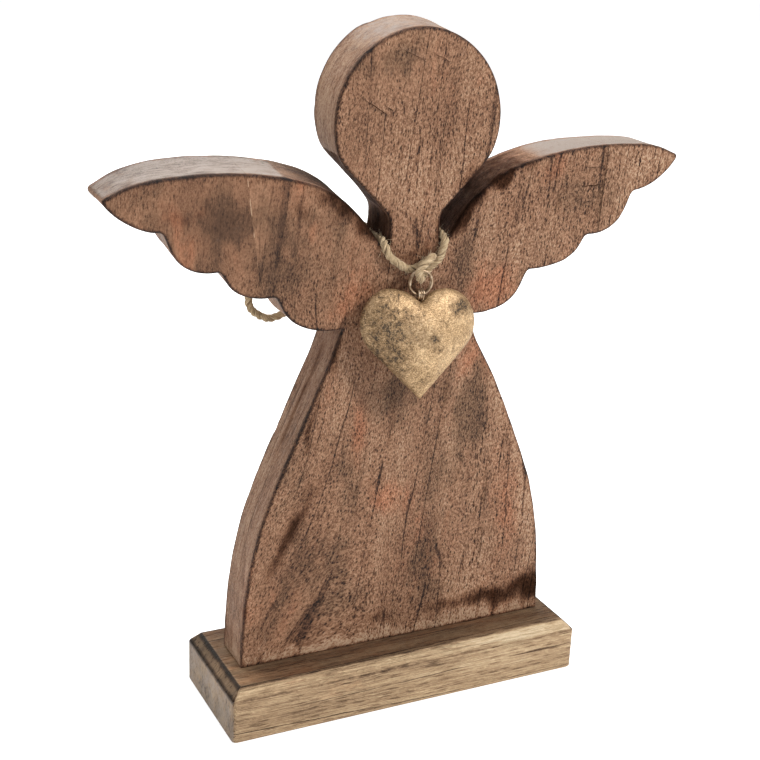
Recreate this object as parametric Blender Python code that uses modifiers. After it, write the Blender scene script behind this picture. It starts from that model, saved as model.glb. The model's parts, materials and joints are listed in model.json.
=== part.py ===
"""Angel figurine sawn from a glued mango-wood board, on a chamfered plinth, with a heart pendant on a jute cord.

Metres, +Z up. The origin is the centre of the plinth's underside, the figure faces -Y and +X is the viewer's right.
Outlines are worked in millimetres, as (x, z) points seen from the front, and scaled once when a curve is made.
"""

import math

import bmesh
import bpy
from mathutils import Matrix, Vector

MM = 0.001
GAP = 0.3  # glue lines and resting faces

# Driving dimensions, in millimetres.
PLINTH_SIZE = Vector((202.0, 70.0, 29.0))
PLINTH_CHAMFER = 5.4
BOARD_THICKNESS = 26.0
BOARD_ARRIS = 1.2
FIGURE_TOP = 350.0
HEAD_RADIUS = 44.0
NECK_HALF_WIDTH = 13.2
WING_REACH = 154.3
WING_TILT = math.radians(1.2)  # the hand-sawn right wing stands this much higher, the left one this much lower
LEFT_GLUE_X = 85.0  # how far out each wing's glue line stands
RIGHT_GLUE_X = 108.0
LEFT_NOTCH_X = 72.2  # the notch before the innermost feather end
RIGHT_NOTCH_X = 65.8
LEFT_ARMPIT_X = 37.0
RIGHT_ARMPIT_X = 33.8
ARMPIT_Z = 207.2
WING_FOOT = 200.0  # below the wings, above which the robe is narrower than the glue lines

SCREW_LENGTH = 50.0
SCREW_RADIUS = 2.0
SCREW_HEAD_RADIUS = 4.0
SCREW_RECESS = 0.6
SCREW_TIP = 5.0
SCREW_SLOT = Vector((4.6, 1.0, 3.0))  # one arm of the cross, half of whose height is in the head
SCREW_X = 52.0

CORD_RADIUS = 2.0
RING_RADIUS = 6.1  # to the middle of the wire
RING_WIRE = 0.55
RING_PITCH = 1.3
RING_TURNS = 1.9
EYE_RADIUS = 2.45
EYE_WIRE = 0.55
EYE_SHANK = 6.0
EYE_RISE = 0.8  # bare stem between the eye and the heart's notch

HEART_WIDTH = 61.4
HEART_HEIGHT = 54.8
HEART_LOBE_RADIUS = 17.5
HEART_HALF_DEPTH = 9.0
HEART_RIM = 0.14  # share of that depth which stands straight at the seam
HEART_SHEET = 0.7
HEART_TILT = math.radians(8.5)  # the belly rests on the board, so the tip stands off it
HEART_TURN = math.radians(1.5)  # it hangs a little askew

# Places, in millimetres.
BOARD_FOOT = PLINTH_SIZE.z + GAP
HEAD_CENTRE = Vector((0.0, FIGURE_TOP - HEAD_RADIUS))
SHOULDER = Vector((15.0, 243.0))  # foot of the notch between neck and wing
RING_CENTRE = Vector((1.0, -19.4, 228.8))
HEART_PIVOT = RING_CENTRE - Vector((0, 0, RING_RADIUS))
HITCH_POINT = RING_CENTRE + Vector((0, 0, RING_RADIUS - RING_WIRE - GAP - CORD_RADIUS))
KNOT_CENTRE = Vector((0.0, 18.0, 245.0))
KNOT_RADIUS = 6.5
KNOT_HALF_DEPTH = 4.4
BOW_Y = 20.4  # the bow's loops pass behind the cord's other strands
BOW_ROOT = KNOT_RADIUS + GAP + 1.2  # how far from the knot's middle its loops and ends begin

SCENE = bpy.context.scene


# ---------- outlines and paths ----------


def arc(centre, radius, start, end, steps):
    """Points on a circle from start to end, in degrees, both ends included."""
    angles = [math.radians(start + (end - start) * i / steps) for i in range(steps + 1)]
    return [centre + radius * Vector((math.cos(a), math.sin(a))) for a in angles]


def cubic(start, pull_start, pull_end, end, steps):
    """Points on a cubic Bezier, without its first point."""
    points = []
    for i in range(1, steps + 1):
        t = i / steps
        u = 1 - t
        points.append(u**3 * start + 3 * u * u * t * pull_start + 3 * u * t * t * pull_end + t**3 * end)
    return points


def smooth_through(knots, steps):
    """Points on a Catmull-Rom curve through the knots, both ends included."""
    knots = [Vector(k) for k in knots]
    ends = [2 * knots[0] - knots[1], *knots, 2 * knots[-1] - knots[-2]]
    points = [knots[0]]
    for before, start, end, after in zip(ends, ends[1:], ends[2:], ends[3:]):
        points += cubic(start, start + (end - before) / 6, end - (after - start) / 6, end, steps)
    return points


def turned(points, centre, angle):
    """Points turned about centre, counter-clockwise as seen."""
    turn = Matrix.Rotation(angle, 2)
    return [centre + turn @ (p - centre) for p in points]


def scallop(start, end, steps):
    """One feather end: it drops steeply from its notch and runs out level towards the next one."""
    run = start.x - end.x
    drop = start.y - end.y
    first = start + Vector((-0.08 * run, -0.72 * drop))
    last = end + Vector((0.56 * run, -0.04 * drop))
    return cubic(start, first, last, end, steps)


def wing_outline(inner_notch_x, armpit_x):
    """The right wing, from the foot of the neck notch round the tip to the armpit."""
    tip = Vector((WING_REACH, 280.0))
    top = [(16.2, 244.2), (30.0, 262.6), (44.0, 274.6), (62.0, 282.0), (85.0, 286.4), (110.0, 288.0), (138.0, 286.0)]
    points = smooth_through([*top, tip], 6)
    notches = [Vector((127.2, 263.4)), Vector((100.0, 242.3)), Vector((inner_notch_x, 227.2))]
    notches.append(Vector((armpit_x, ARMPIT_Z)))
    notch_round = Vector((-1.6, -1.3))
    points += cubic(tip, Vector((150.5, 272.6)), Vector((138.8, 263.9)), notches[0], 8)
    for start, end in zip(notches, notches[1:]):
        points += scallop(start + notch_round, end, 9)
    return points


def head_outline():
    """The right half of the head and neck, from the crown down to the foot of the neck notch."""
    jaw_end = Vector((33.5, 281.5))
    points = arc(HEAD_CENTRE, HEAD_RADIUS, 90, -12, 17)
    points += cubic(points[-1], points[-1] + Vector((-1.5, -7.0)), jaw_end + Vector((5.5, 5.5)), jaw_end, 5)
    points += [Vector((16.0, 263.7)), Vector((13.9, 261.0)), Vector((NECK_HALF_WIDTH, 258.0))]
    points += [Vector((NECK_HALF_WIDTH + 0.8, 246.0)), Vector((NECK_HALF_WIDTH + 1.5, 244.0))]
    return points


def robe_outline(armpit_x):
    """The right side of the robe, from the armpit down to the foot."""
    waist = [(armpit_x, ARMPIT_Z), (armpit_x + 4.6, 193.0)]
    sides = [(50.6, 171.5), (61.0, 148.5), (70.6, 126.5), (79.0, 103.0)]
    feet = [(84.8, 76.0), (87.4, 50.0), (88.4, BOARD_FOOT)]
    return smooth_through(waist + sides + feet, 4)[1:]


def half_outline(wing_tilt, inner_notch_x, armpit_x):
    wing = turned(wing_outline(inner_notch_x, armpit_x), SHOULDER, wing_tilt)
    return head_outline() + wing + robe_outline(armpit_x)


def angel_outline():
    """The whole silhouette, clockwise from the crown."""
    right = half_outline(WING_TILT, RIGHT_NOTCH_X, RIGHT_ARMPIT_X)
    left = [Vector((-p.x, p.y)) for p in half_outline(-WING_TILT, LEFT_NOTCH_X, LEFT_ARMPIT_X)]
    return right + left[:0:-1]


# ---------- Blender helpers ----------


def clear_scene():
    for old in list(bpy.data.objects):
        bpy.data.objects.remove(old)


def new_collection(name):
    made = bpy.data.collections.new(name)
    SCENE.collection.children.link(made)
    return made


def material(name, colour, roughness, metallic=0.0):
    made = bpy.data.materials.new(name)
    made.use_nodes = True
    shader = made.node_tree.nodes["Principled BSDF"]
    shader.inputs["Base Color"].default_value = (*colour, 1.0)
    shader.inputs["Roughness"].default_value = roughness
    shader.inputs["Metallic"].default_value = metallic
    return made


def place(obj, collection, finish=None):
    """Moves an object into one collection and gives it its material."""
    for old in list(obj.users_collection):
        old.objects.unlink(obj)
    collection.objects.link(obj)
    if finish:
        obj.data.materials.append(finish)
    return obj


def as_cutter(obj):
    obj.hide_render = True
    obj.display_type = "WIRE"
    return place(obj, CUTTERS)


def mesh_object(name, work):
    """An object made from a bmesh, which is freed."""
    data = bpy.data.meshes.new(name)
    work.to_mesh(data)
    work.free()
    made = bpy.data.objects.new(name, data)
    SCENE.collection.objects.link(made)
    return made


def curve_object(name, points, dimensions, closed):
    """A curve object through (x, z) or (x, y, z) points in millimetres."""
    data = bpy.data.curves.new(name, "CURVE")
    data.dimensions = dimensions
    spline = data.splines.new("POLY")
    spline.points.add(len(points) - 1)
    for slot, point in zip(spline.points, points):
        slot.co = (*(point.to_3d() * MM), 1.0)
    spline.use_cyclic_u = closed
    made = bpy.data.objects.new(name, data)
    SCENE.collection.objects.link(made)
    return made


def wire(name, points, radius, closed=False):
    """A round wire or cord along the points."""
    made = curve_object(name, points, "3D", closed)
    made.data.bevel_depth = radius * MM
    made.data.bevel_resolution = 2
    made.data.use_fill_caps = not closed
    return made


def mesh_from_curve(curve):
    """The curve's solid as a mesh object with its caps welded. It takes the curve's name and place."""
    bpy.context.view_layer.update()
    graph = bpy.context.evaluated_depsgraph_get()
    data = bpy.data.meshes.new_from_object(curve.evaluated_get(graph))
    work = bmesh.new()
    work.from_mesh(data)
    bmesh.ops.remove_doubles(work, verts=work.verts, dist=0.001 * MM)
    work.to_mesh(data)
    work.free()
    name = curve.name
    matrix = curve.matrix_world.copy()
    bpy.data.objects.remove(curve)
    made = bpy.data.objects.new(name, data)
    made.matrix_world = matrix
    SCENE.collection.objects.link(made)
    return made


def box(name, size, centre):
    work = bmesh.new()
    bmesh.ops.create_cube(work, size=1.0)
    bmesh.ops.scale(work, vec=Vector(size) * MM, verts=work.verts)
    made = mesh_object(name, work)
    made.location = Vector(centre) * MM
    return made


def rod(name, radius, bottom, top, sides=24):
    """An upright cylinder between two points, one above the other."""
    work = bmesh.new()
    length = (top.z - bottom.z) * MM
    bmesh.ops.create_cone(
        work, cap_ends=True, segments=sides, radius1=radius * MM, radius2=radius * MM, depth=length
    )
    made = mesh_object(name, work)
    made.location = (bottom + top) / 2 * MM
    return made


def turned_solid(name, profile, steps=24):
    """A solid of revolution about Z. The (radius, z) profile runs from its top down to its bottom."""
    work = bmesh.new()
    corners = [work.verts.new((r * MM, 0, z * MM)) for r, z in profile]
    for a, b in zip(corners, corners[1:]):
        work.edges.new((a, b))
    made = mesh_object(name, work)
    screw = made.modifiers.new("turn", "SCREW")
    screw.steps = steps
    screw.render_steps = steps
    screw.use_merge_vertices = True
    screw.merge_threshold = 0.01 * MM
    return made


def soften(obj, width, segments=2):
    """Rounds the arrises of a solid."""
    bevel = obj.modifiers.new("arris", "BEVEL")
    bevel.width = width * MM
    bevel.segments = segments
    bevel.limit_method = "ANGLE"
    bevel.angle_limit = math.radians(50)
    bevel.harden_normals = False


def boolean(obj, other, operation):
    step = obj.modifiers.new(other.name, "BOOLEAN")
    step.operation = operation
    step.object = other


def smooth_shaded(obj, sharp_angle=40):
    obj.data.shade_smooth()
    obj.data.set_sharp_from_angle(angle=math.radians(sharp_angle))


# ---------- wood ----------


def screw_way(x):
    """Cutter for a plinth screw: clearance hole, countersink and the pilot hole in the board above."""
    hole = SCREW_RADIUS + GAP
    head = SCREW_HEAD_RADIUS + GAP
    sink_end = SCREW_RECESS + SCREW_HEAD_RADIUS - SCREW_RADIUS
    end = SCREW_RECESS + SCREW_LENGTH + 2 * GAP
    profile = [(0, end), (hole, end - hole), (hole, sink_end + GAP), (head, SCREW_RECESS + GAP), (head, -1), (0, -1)]
    cutter = turned_solid(f"screw_way_{x:.0f}", profile)
    cutter.location.x = x * MM
    return as_cutter(cutter)


def plinth():
    """A block whose top edges are planed to a chamfer."""
    work = bmesh.new()
    bmesh.ops.create_cube(work, size=1.0)
    bmesh.ops.scale(work, vec=PLINTH_SIZE * MM, verts=work.verts)
    bmesh.ops.translate(work, vec=(0, 0, PLINTH_SIZE.z / 2 * MM), verts=work.verts)
    top = [e for e in work.edges if all(v.co.z > PLINTH_SIZE.z / 2 * MM for v in e.verts)]
    bmesh.ops.bevel(work, geom=top, offset=PLINTH_CHAMFER * MM, segments=1, affect="EDGES")
    made = mesh_object("plinth", work)
    bevel = made.modifiers.new("arris", "BEVEL")
    bevel.width = BOARD_ARRIS * MM
    bevel.segments = 2
    for cutter in SCREW_WAYS:
        boolean(made, cutter, "DIFFERENCE")
    return place(made, PARTS, WOOD)


def angel_blank(name):
    """The whole sawn angel with its arrises rounded."""
    made = curve_object(name, angel_outline(), "2D", closed=True)
    made.data.fill_mode = "BOTH"
    made.data.extrude = BOARD_THICKNESS / 2 * MM
    made.rotation_euler.x = math.radians(90)
    made = mesh_from_curve(made)
    soften(made, BOARD_ARRIS)
    return made


def wing_space(name, side, start):
    """Cutter: everything on one side beyond start, above the robe."""
    centre = (side * (start + WING_REACH), 0, WING_FOOT + FIGURE_TOP / 2)
    return as_cutter(box(name, (2 * WING_REACH, 2 * BOARD_THICKNESS, FIGURE_TOP), centre))


def wing_board(name, side, glue_x):
    """The part of a wing beyond its upright glue line."""
    made = angel_blank(name)
    boolean(made, wing_space(f"{name}_space", side, glue_x + GAP / 2), "INTERSECT")
    return place(made, PARTS, WOOD)


def centre_board():
    """Head, robe and the roots of both wings in one board, bored for the plinth screws."""
    made = angel_blank("centre_board")
    boolean(made, wing_space("left_wing_side", -1, LEFT_GLUE_X - GAP / 2), "DIFFERENCE")
    boolean(made, wing_space("right_wing_side", 1, RIGHT_GLUE_X - GAP / 2), "DIFFERENCE")
    for cutter in SCREW_WAYS:
        boolean(made, cutter, "DIFFERENCE")
    return place(made, PARTS, WOOD)


def plinth_screw(name, x):
    """A countersunk wood screw driven up through the plinth, with a cross recess."""
    cone_end = SCREW_HEAD_RADIUS - SCREW_RADIUS
    tip_start = SCREW_LENGTH - SCREW_TIP
    profile = [(0, SCREW_LENGTH), (SCREW_RADIUS, tip_start), (SCREW_RADIUS, cone_end), (SCREW_HEAD_RADIUS, 0), (0, 0)]
    made = turned_solid(name, profile)
    made.location = Vector((x, 0, SCREW_RECESS)) * MM
    for turn in (0, 90):
        slot = box(f"{name}_slot_{turn}", SCREW_SLOT, (x, 0, SCREW_RECESS))
        slot.rotation_euler.z = math.radians(turn)
        boolean(made, as_cutter(slot), "DIFFERENCE")
    return place(made, PARTS, STEEL)


# ---------- cord ----------


def neck_cord():
    """One strand: from the bow round the left of the neck, a turn through the ring, and back round the right."""
    behind = [(-6.9, 15.6, 246.6), (-11.5, 15.6, 249.2), (-16.4, 15.4, 251.6)]
    left = [(-18.2, 11.5, 251.8), (-18.4, 0.0, 251.6), (-18.6, -11.5, 251.6), (-20.2, -15.3, 250.2)]
    left_front = [(-18.4, -15.7, 246.4), (-14.5, -15.6, 241.9), (-9.8, -15.5, 238.4), (-3.8, -15.4, 234.8)]
    over = [(1.6, -15.4, 235.7), (6.4, -16.0, 239.0), (7.4, -18.6, 241.2), (4.4, -21.6, 240.8)]
    down = [(0.4, -22.8, 238.4), (-2.2, -23.4, 235.2), (-1.6, -23.3, 232.2)]
    through = [HITCH_POINT + Vector((-0.9, -2.2, -1.1)), HITCH_POINT, HITCH_POINT + Vector((1.0, 2.8, -1.1))]
    under = [(4.4, -15.5, 231.6), (7.6, -15.5, 234.6), (10.7, -15.5, 237.2)]
    right_front = [(13.3, -15.5, 239.8), (14.4, -15.5, 243.2), (14.4, -15.6, 247.4), (15.2, -15.0, 250.8)]
    right = [(16.2, -11.5, 252.2), (16.4, 0.0, 252.4), (16.4, 11.5, 252.4), (15.6, 15.4, 251.8)]
    home = [(11.5, 15.6, 249.2), (6.9, 15.6, 246.6)]
    knots = behind + left + left_front + over + down + through + under + right_front + right + home
    return place(wire("neck_cord", smooth_through(knots, 4), CORD_RADIUS), PARTS, JUTE)


def bow_knot():
    """The lump where the strand's ends are tied, round about the axis on which the bow swings."""
    work = bmesh.new()
    bmesh.ops.create_uvsphere(work, u_segments=24, v_segments=12, radius=1.0)
    bmesh.ops.scale(work, vec=Vector((KNOT_RADIUS, KNOT_RADIUS, KNOT_HALF_DEPTH)) * MM, verts=work.verts)
    made = mesh_object("bow_knot", work)
    made.rotation_euler.x = math.radians(90)
    made.location = KNOT_CENTRE * MM
    smooth_shaded(made)
    return place(made, PARTS, JUTE)


def on_bow(name, shape, angle):
    """A cord through (outwards, sideways) points from the knot's centre, turned to angle and hinged on the knot."""
    points = [Vector((p.x, 0.0, p.y)) for p in turned(smooth_through(shape, 5), Vector((0, 0)), angle)]
    made = wire(name, points, CORD_RADIUS)
    made.location = Vector((KNOT_CENTRE.x, BOW_Y, KNOT_CENTRE.z)) * MM
    return place(made, PARTS, JUTE)


def bow_loop(name, length, half_width, angle):
    """A teardrop of cord that leaves the knot and comes back to it."""
    tip_centre = length - half_width
    side = [(BOW_ROOT, 2.4), (0.45 * length, 0.62 * half_width), (tip_centre, half_width)]
    tip = [tuple(p) for p in arc(Vector((tip_centre, 0)), half_width, 60, -60, 4)]
    shape = side + tip + [(x, -y) for x, y in reversed(side)]
    return on_bow(name, shape, angle)


def cord_end(name, length, angle):
    """A cut end of the cord, hanging from the knot with a slight curl."""
    shape = [(BOW_ROOT, 0), (0.4 * length, 0.8), (0.7 * length, 0.4), (length, -1.6)]
    made = on_bow(name, shape, angle)
    made.location.y = (BOARD_THICKNESS / 2 + CORD_RADIUS + 2 * GAP) * MM
    return made


# ---------- pendant ----------


def hanging_ring():
    """A springy wire ring of nearly two turns, facing the viewer."""
    steps = 44
    points = []
    for i in range(steps + 1):
        share = i / steps
        angle = math.radians(200) + share * RING_TURNS * math.tau
        depth = (0.5 - share) * RING_TURNS * RING_PITCH
        points.append(Vector((RING_RADIUS * math.cos(angle), depth, RING_RADIUS * math.sin(angle))))
    made = wire("hanging_ring", points, RING_WIRE)
    made.location = RING_CENTRE * MM
    return place(made, PARTS, BRASS)


def heart_lobe():
    """The right half of the heart's rim, from the notch round the lobe to the tip, about the hinge on the ring."""
    centre_x = HEART_WIDTH / 2 - HEART_LOBE_RADIUS
    notch_rise = math.sqrt(HEART_LOBE_RADIUS**2 - centre_x**2)
    notch_z = -(EYE_RADIUS + EYE_WIRE + EYE_RISE)
    centre = Vector((centre_x, notch_z - notch_rise))
    tip = Vector((0.0, centre.y + HEART_LOBE_RADIUS - HEART_HEIGHT))
    reach = centre - tip
    lean = math.degrees(math.atan2(reach.x, reach.y) + math.asin(HEART_LOBE_RADIUS / reach.length))
    notch_angle = math.degrees(math.atan2(notch_rise, -centre_x))
    points = arc(centre, HEART_LOBE_RADIUS, notch_angle, lean - 90, 15)
    straight = [points[-1].lerp(tip, i / 5) for i in range(1, 6)]
    return points + straight


def heart_shell(name, side):
    """Half of the hollow heart: side is -1 for the front stamping and 1 for the back one."""
    lobe = heart_lobe()
    rim = lobe + [Vector((-p.x, p.y)) for p in lobe[-2:0:-1]]
    middle = Vector((0.0, (lobe[0].y + lobe[-1].y) / 2 + 3.0))
    work = bmesh.new()
    crown = work.verts.new((middle.x * MM, side * (HEART_HALF_DEPTH + GAP / 2) * MM, middle.y * MM))
    rings = []
    for height in (0.0, HEART_RIM, 0.32, 0.52, 0.70, 0.85, 0.96):
        rise = max(0.0, height - HEART_RIM) / (1 - HEART_RIM)
        share = (1 - rise**2) ** 0.62
        depth = side * (HEART_HALF_DEPTH * height + GAP / 2) * MM
        spots = [middle.lerp(p, share) * MM for p in rim]
        rings.append([work.verts.new((p.x, depth, p.y)) for p in spots])
    for outer, inner in zip(rings, rings[1:]):
        for i, vert in enumerate(outer):
            work.faces.new((vert, outer[i - 1], inner[i - 1], inner[i]))
    for i, vert in enumerate(rings[-1]):
        work.faces.new((vert, rings[-1][i - 1], crown))
    bmesh.ops.recalc_face_normals(work, faces=work.faces)
    if sum(face.normal.y for face in work.faces) * side < 0:
        bmesh.ops.reverse_faces(work, faces=work.faces)
    made = mesh_object(name, work)
    sheet = made.modifiers.new("sheet", "SOLIDIFY")
    sheet.thickness = HEART_SHEET * MM
    sheet.offset = -1.0
    hang(made)
    boolean(made, SHANK_WAY, "DIFFERENCE")
    smooth_shaded(made, 60)
    return place(made, PARTS, BRASS)


def hang(obj):
    """Hangs an object drawn about the hinge on the ring, at the heart's rest lean."""
    obj.matrix_world = (
        Matrix.Translation(HEART_PIVOT * MM)
        @ Matrix.Rotation(-HEART_TILT, 4, "X")
        @ Matrix.Rotation(HEART_TURN, 4, "Y")
    )
    return obj


def shank(name, radius, rise):
    """The eye's stem, from rise below the hinge down into the heart."""
    foot = Vector((0, 0, -(EYE_RADIUS + EYE_SHANK)))
    made = rod(name, radius, foot, Vector((0, 0, -rise)), sides=12)
    made.data.transform(Matrix.Translation(made.location))
    return hang(made)


def heart_eye():
    """A small wire eye across the ring, with its stem joined on."""
    bpy.ops.mesh.primitive_torus_add(
        major_segments=24,
        minor_segments=8,
        major_radius=EYE_RADIUS * MM,
        minor_radius=EYE_WIRE * MM,
        rotation=(0, math.radians(90), 0),
    )
    made = bpy.context.object
    made.name = "heart_eye"
    made.data.transform(made.matrix_world)
    hang(made)
    boolean(made, as_cutter(shank("heart_eye_stem", EYE_WIRE, EYE_RADIUS)), "UNION")
    smooth_shaded(made)
    return place(made, PARTS, BRASS)


clear_scene()
PARTS = new_collection("angel_figurine")
CUTTERS = new_collection("cutters")

WOOD = material("mango_wood", (0.26, 0.13, 0.075), 0.62)
STEEL = material("zinc_steel", (0.55, 0.54, 0.50), 0.35, 1.0)
JUTE = material("jute", (0.47, 0.35, 0.21), 0.9)
BRASS = material("antique_gold", (0.66, 0.46, 0.22), 0.42, 0.9)

SCREW_WAYS = [screw_way(-SCREW_X), screw_way(SCREW_X)]
SHANK_WAY = as_cutter(shank("shank_way", EYE_WIRE + GAP, EYE_RADIUS + EYE_WIRE))

plinth()
centre_board()
wing_board("left_wing_board", -1, LEFT_GLUE_X)
wing_board("right_wing_board", 1, RIGHT_GLUE_X)
plinth_screw("plinth_screw_left", -SCREW_X)
plinth_screw("plinth_screw_right", SCREW_X)

neck_cord()
bow_knot()
bow_loop("bow_loop_left", 80.0, 12.5, math.radians(180 + 24.5))
bow_loop("bow_loop_right", 62.0, 10.0, math.radians(-19))
cord_end("cord_end_left", 46.0, math.radians(-90 - 28))
cord_end("cord_end_right", 40.0, math.radians(-90 + 28))

hanging_ring()
heart_shell("heart_front_shell", -1)
heart_shell("heart_back_shell", 1)
heart_eye()
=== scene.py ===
"""The looks of the angel figurine: weathered wood, jute cord and an aged gold heart, built round its frame.

Shapes are worked in millimetres (+Z up, the figure faces -Y) and scaled once when a mesh is made.
"""

import json
import math
import random

import bmesh
import bpy
import numpy as np
from mathutils import Matrix, Vector, noise
from mathutils.geometry import delaunay_2d_cdt


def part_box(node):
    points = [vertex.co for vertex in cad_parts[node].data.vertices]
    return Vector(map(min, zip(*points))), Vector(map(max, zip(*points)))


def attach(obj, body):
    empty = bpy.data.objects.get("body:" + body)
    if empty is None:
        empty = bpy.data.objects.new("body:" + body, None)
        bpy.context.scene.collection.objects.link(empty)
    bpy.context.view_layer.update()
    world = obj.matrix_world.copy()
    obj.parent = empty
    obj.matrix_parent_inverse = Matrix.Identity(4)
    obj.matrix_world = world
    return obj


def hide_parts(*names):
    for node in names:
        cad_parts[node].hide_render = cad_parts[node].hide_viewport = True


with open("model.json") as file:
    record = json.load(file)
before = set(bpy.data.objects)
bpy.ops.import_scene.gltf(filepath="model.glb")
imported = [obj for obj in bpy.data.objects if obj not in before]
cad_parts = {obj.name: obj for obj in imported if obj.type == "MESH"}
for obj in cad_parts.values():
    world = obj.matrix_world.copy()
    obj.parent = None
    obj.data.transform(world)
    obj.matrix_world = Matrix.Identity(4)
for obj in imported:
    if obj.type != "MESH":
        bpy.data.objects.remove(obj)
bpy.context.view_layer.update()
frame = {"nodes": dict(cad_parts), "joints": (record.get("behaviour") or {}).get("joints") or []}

MM = 0.001
SCENE = bpy.context.scene
JOINTS = {joint["name"]: joint for joint in frame["joints"]}


def node_box(node):
    """A CAD node's lowest and highest corners, in millimetres."""
    low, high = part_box(node)
    return low / MM, high / MM


def joint_place(name):
    return Vector(JOINTS[name]["pos_m"]) / MM


# ---------- the frame's own places, in millimetres ----------

BOARD_LOW, BOARD_HIGH = node_box("centre_board")
PLINTH_HIGH = node_box("plinth")[1]
BOARD_HALF = BOARD_HIGH.y
BOARD_FOOT = BOARD_LOW.z
HALF_GAP = 0.15  # the CAD boards stop this far short of a glue line
LEFT_SEAM = node_box("left_wing_board")[1].x + HALF_GAP
RIGHT_SEAM = node_box("right_wing_board")[0].x - HALF_GAP
WING_FOOT = 200.0  # the wings are all above this height
HITCH = joint_place("ring_swing")
HEART_PIVOT = joint_place("heart_lift")
KNOT = joint_place("left_loop_droop")
CORD_RADIUS = 2.0
SCREWS = ("plinth_screw_left", "plinth_screw_right")


# ---------- point work ----------


def smooth_noise(point, size, seed=0.0):
    """Noise between about -1 and 1, with features of the given size."""
    return noise.noise(Vector(point) / size + Vector((seed, 1.7 * seed, -seed)))


def smooth_step(low, high, value):
    share = min(1.0, max(0.0, (value - low) / (high - low)))
    return share * share * (3 - 2 * share)


def heading(a, b, c):
    """The direction of a smooth curve at b, leaning towards its shorter side."""
    before, after = max(1e-6, (b - a).length), max(1e-6, (c - b).length)
    return ((b - a) * after / before + (c - b) * before / after) / (before + after)


def cubic_at(a, b, c, d, t):
    """A point on the smooth span from b to c, whose neighbours are a and d."""
    span = (c - b).length
    start = (2 * t**3 - 3 * t * t + 1) * b + (t**3 - 2 * t * t + t) * span * heading(a, b, c)
    return start + (3 * t * t - 2 * t**3) * c + (t**3 - t * t) * span * heading(b, c, d)


def even_run(knots, spacing):
    """Points at even steps along a smooth curve through the knots, both ends included."""
    ends = [2 * knots[0] - knots[1], *knots, 2 * knots[-1] - knots[-2]]
    fine = [knots[0]]
    for a, b, c, d in zip(ends, ends[1:], ends[2:], ends[3:]):
        fine += [cubic_at(a, b, c, d, t / 12) for t in range(1, 13)]
    travelled = [0.0]
    for a, b in zip(fine, fine[1:]):
        travelled.append(travelled[-1] + (b - a).length)
    steps = max(2, round(travelled[-1] / spacing))
    points = []
    at = 0
    for i in range(steps + 1):
        goal = travelled[-1] * i / steps
        while at < len(fine) - 2 and travelled[at + 1] < goal:
            at += 1
        span = max(1e-9, travelled[at + 1] - travelled[at])
        points.append(fine[at].lerp(fine[at + 1], min(1.0, (goal - travelled[at]) / span)))
    return points


def section(node, origin, across, up):
    """The longest closed loop where a plane cuts a CAD node, as (across, up) points in millimetres."""
    work = bmesh.new()
    work.from_mesh(frame["nodes"][node].data)
    bmesh.ops.scale(work, vec=Vector((1, 1, 1)) / MM, verts=work.verts)
    bmesh.ops.remove_doubles(work, verts=work.verts, dist=0.002)
    cut = bmesh.ops.bisect_plane(
        work,
        geom=[*work.verts, *work.edges, *work.faces],
        dist=1e-5,
        plane_co=origin,
        plane_no=across.cross(up),
        clear_inner=True,
        clear_outer=True,
    )
    links = {}
    for edge in cut["geom_cut"]:
        if isinstance(edge, bmesh.types.BMEdge):
            a, b = edge.verts
            links.setdefault(a, []).append(b)
            links.setdefault(b, []).append(a)
    loops = []
    while links:
        start = next(iter(links))
        loop = [start]
        while links.get(loop[-1]):
            after = links[loop[-1]].pop()
            links[after].remove(loop[-1])
            if after is start:
                break
            loop.append(after)
        for vert in loop:
            links.pop(vert, None)
        loops.append([Vector(((v.co - origin).dot(across), (v.co - origin).dot(up))) for v in loop])
    work.free()
    longest = max(loops, key=lambda loop: sum((a - b).length for a, b in zip(loop, loop[1:])))
    return anticlockwise(without_straight_points(longest))


def turn_at(a, b, c):
    """How far the path a-b-c turns at b, in degrees."""
    first, second = b - a, c - b
    if first.length < 1e-6 or second.length < 1e-6:
        return 0.0
    return math.degrees(abs(first.angle(second)))


def without_straight_points(loop):
    count = len(loop)
    return [p for i, p in enumerate(loop) if turn_at(loop[i - 1], p, loop[(i + 1) % count]) > 0.6]


def anticlockwise(loop):
    area = sum(a.x * b.y - b.x * a.y for a, b in zip(loop, [*loop[1:], loop[0]]))
    return loop if area > 0 else loop[::-1]


def even_loop(loop, spacing, corner=34.0, straight=9.0):
    """The closed loop at even steps, curved between its corners and along its short sides only."""
    count = len(loop)
    corners = []
    for i, point in enumerate(loop):
        before, after = loop[i - 1], loop[(i + 1) % count]
        beside_straight = max((point - before).length, (after - point).length) > straight
        if beside_straight or turn_at(before, point, after) > corner:
            corners.append(i)
    points = []
    for start, end in zip(corners, [*corners[1:], corners[0] + count]):
        run = [loop[i % count] for i in range(start, end + 1)]
        points += even_run(run, spacing)[:-1]
    return points


def softened(loop, passes, held):
    """The loop with its corners eased, except at the points where held(point) is true."""
    for _ in range(passes):
        count = len(loop)
        loop = [
            p if held(p) else p / 2 + (loop[i - 1] + loop[(i + 1) % count]) / 4
            for i, p in enumerate(loop)
        ]
    return loop


def inward_normals(loop):
    count = len(loop)
    normals = []
    for i in range(count):
        along = loop[(i + 1) % count] - loop[i - 1]
        normals.append(Vector((-along.y, along.x)).normalized())
    return normals


BATCH = 2000  # points worked on at once


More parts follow.
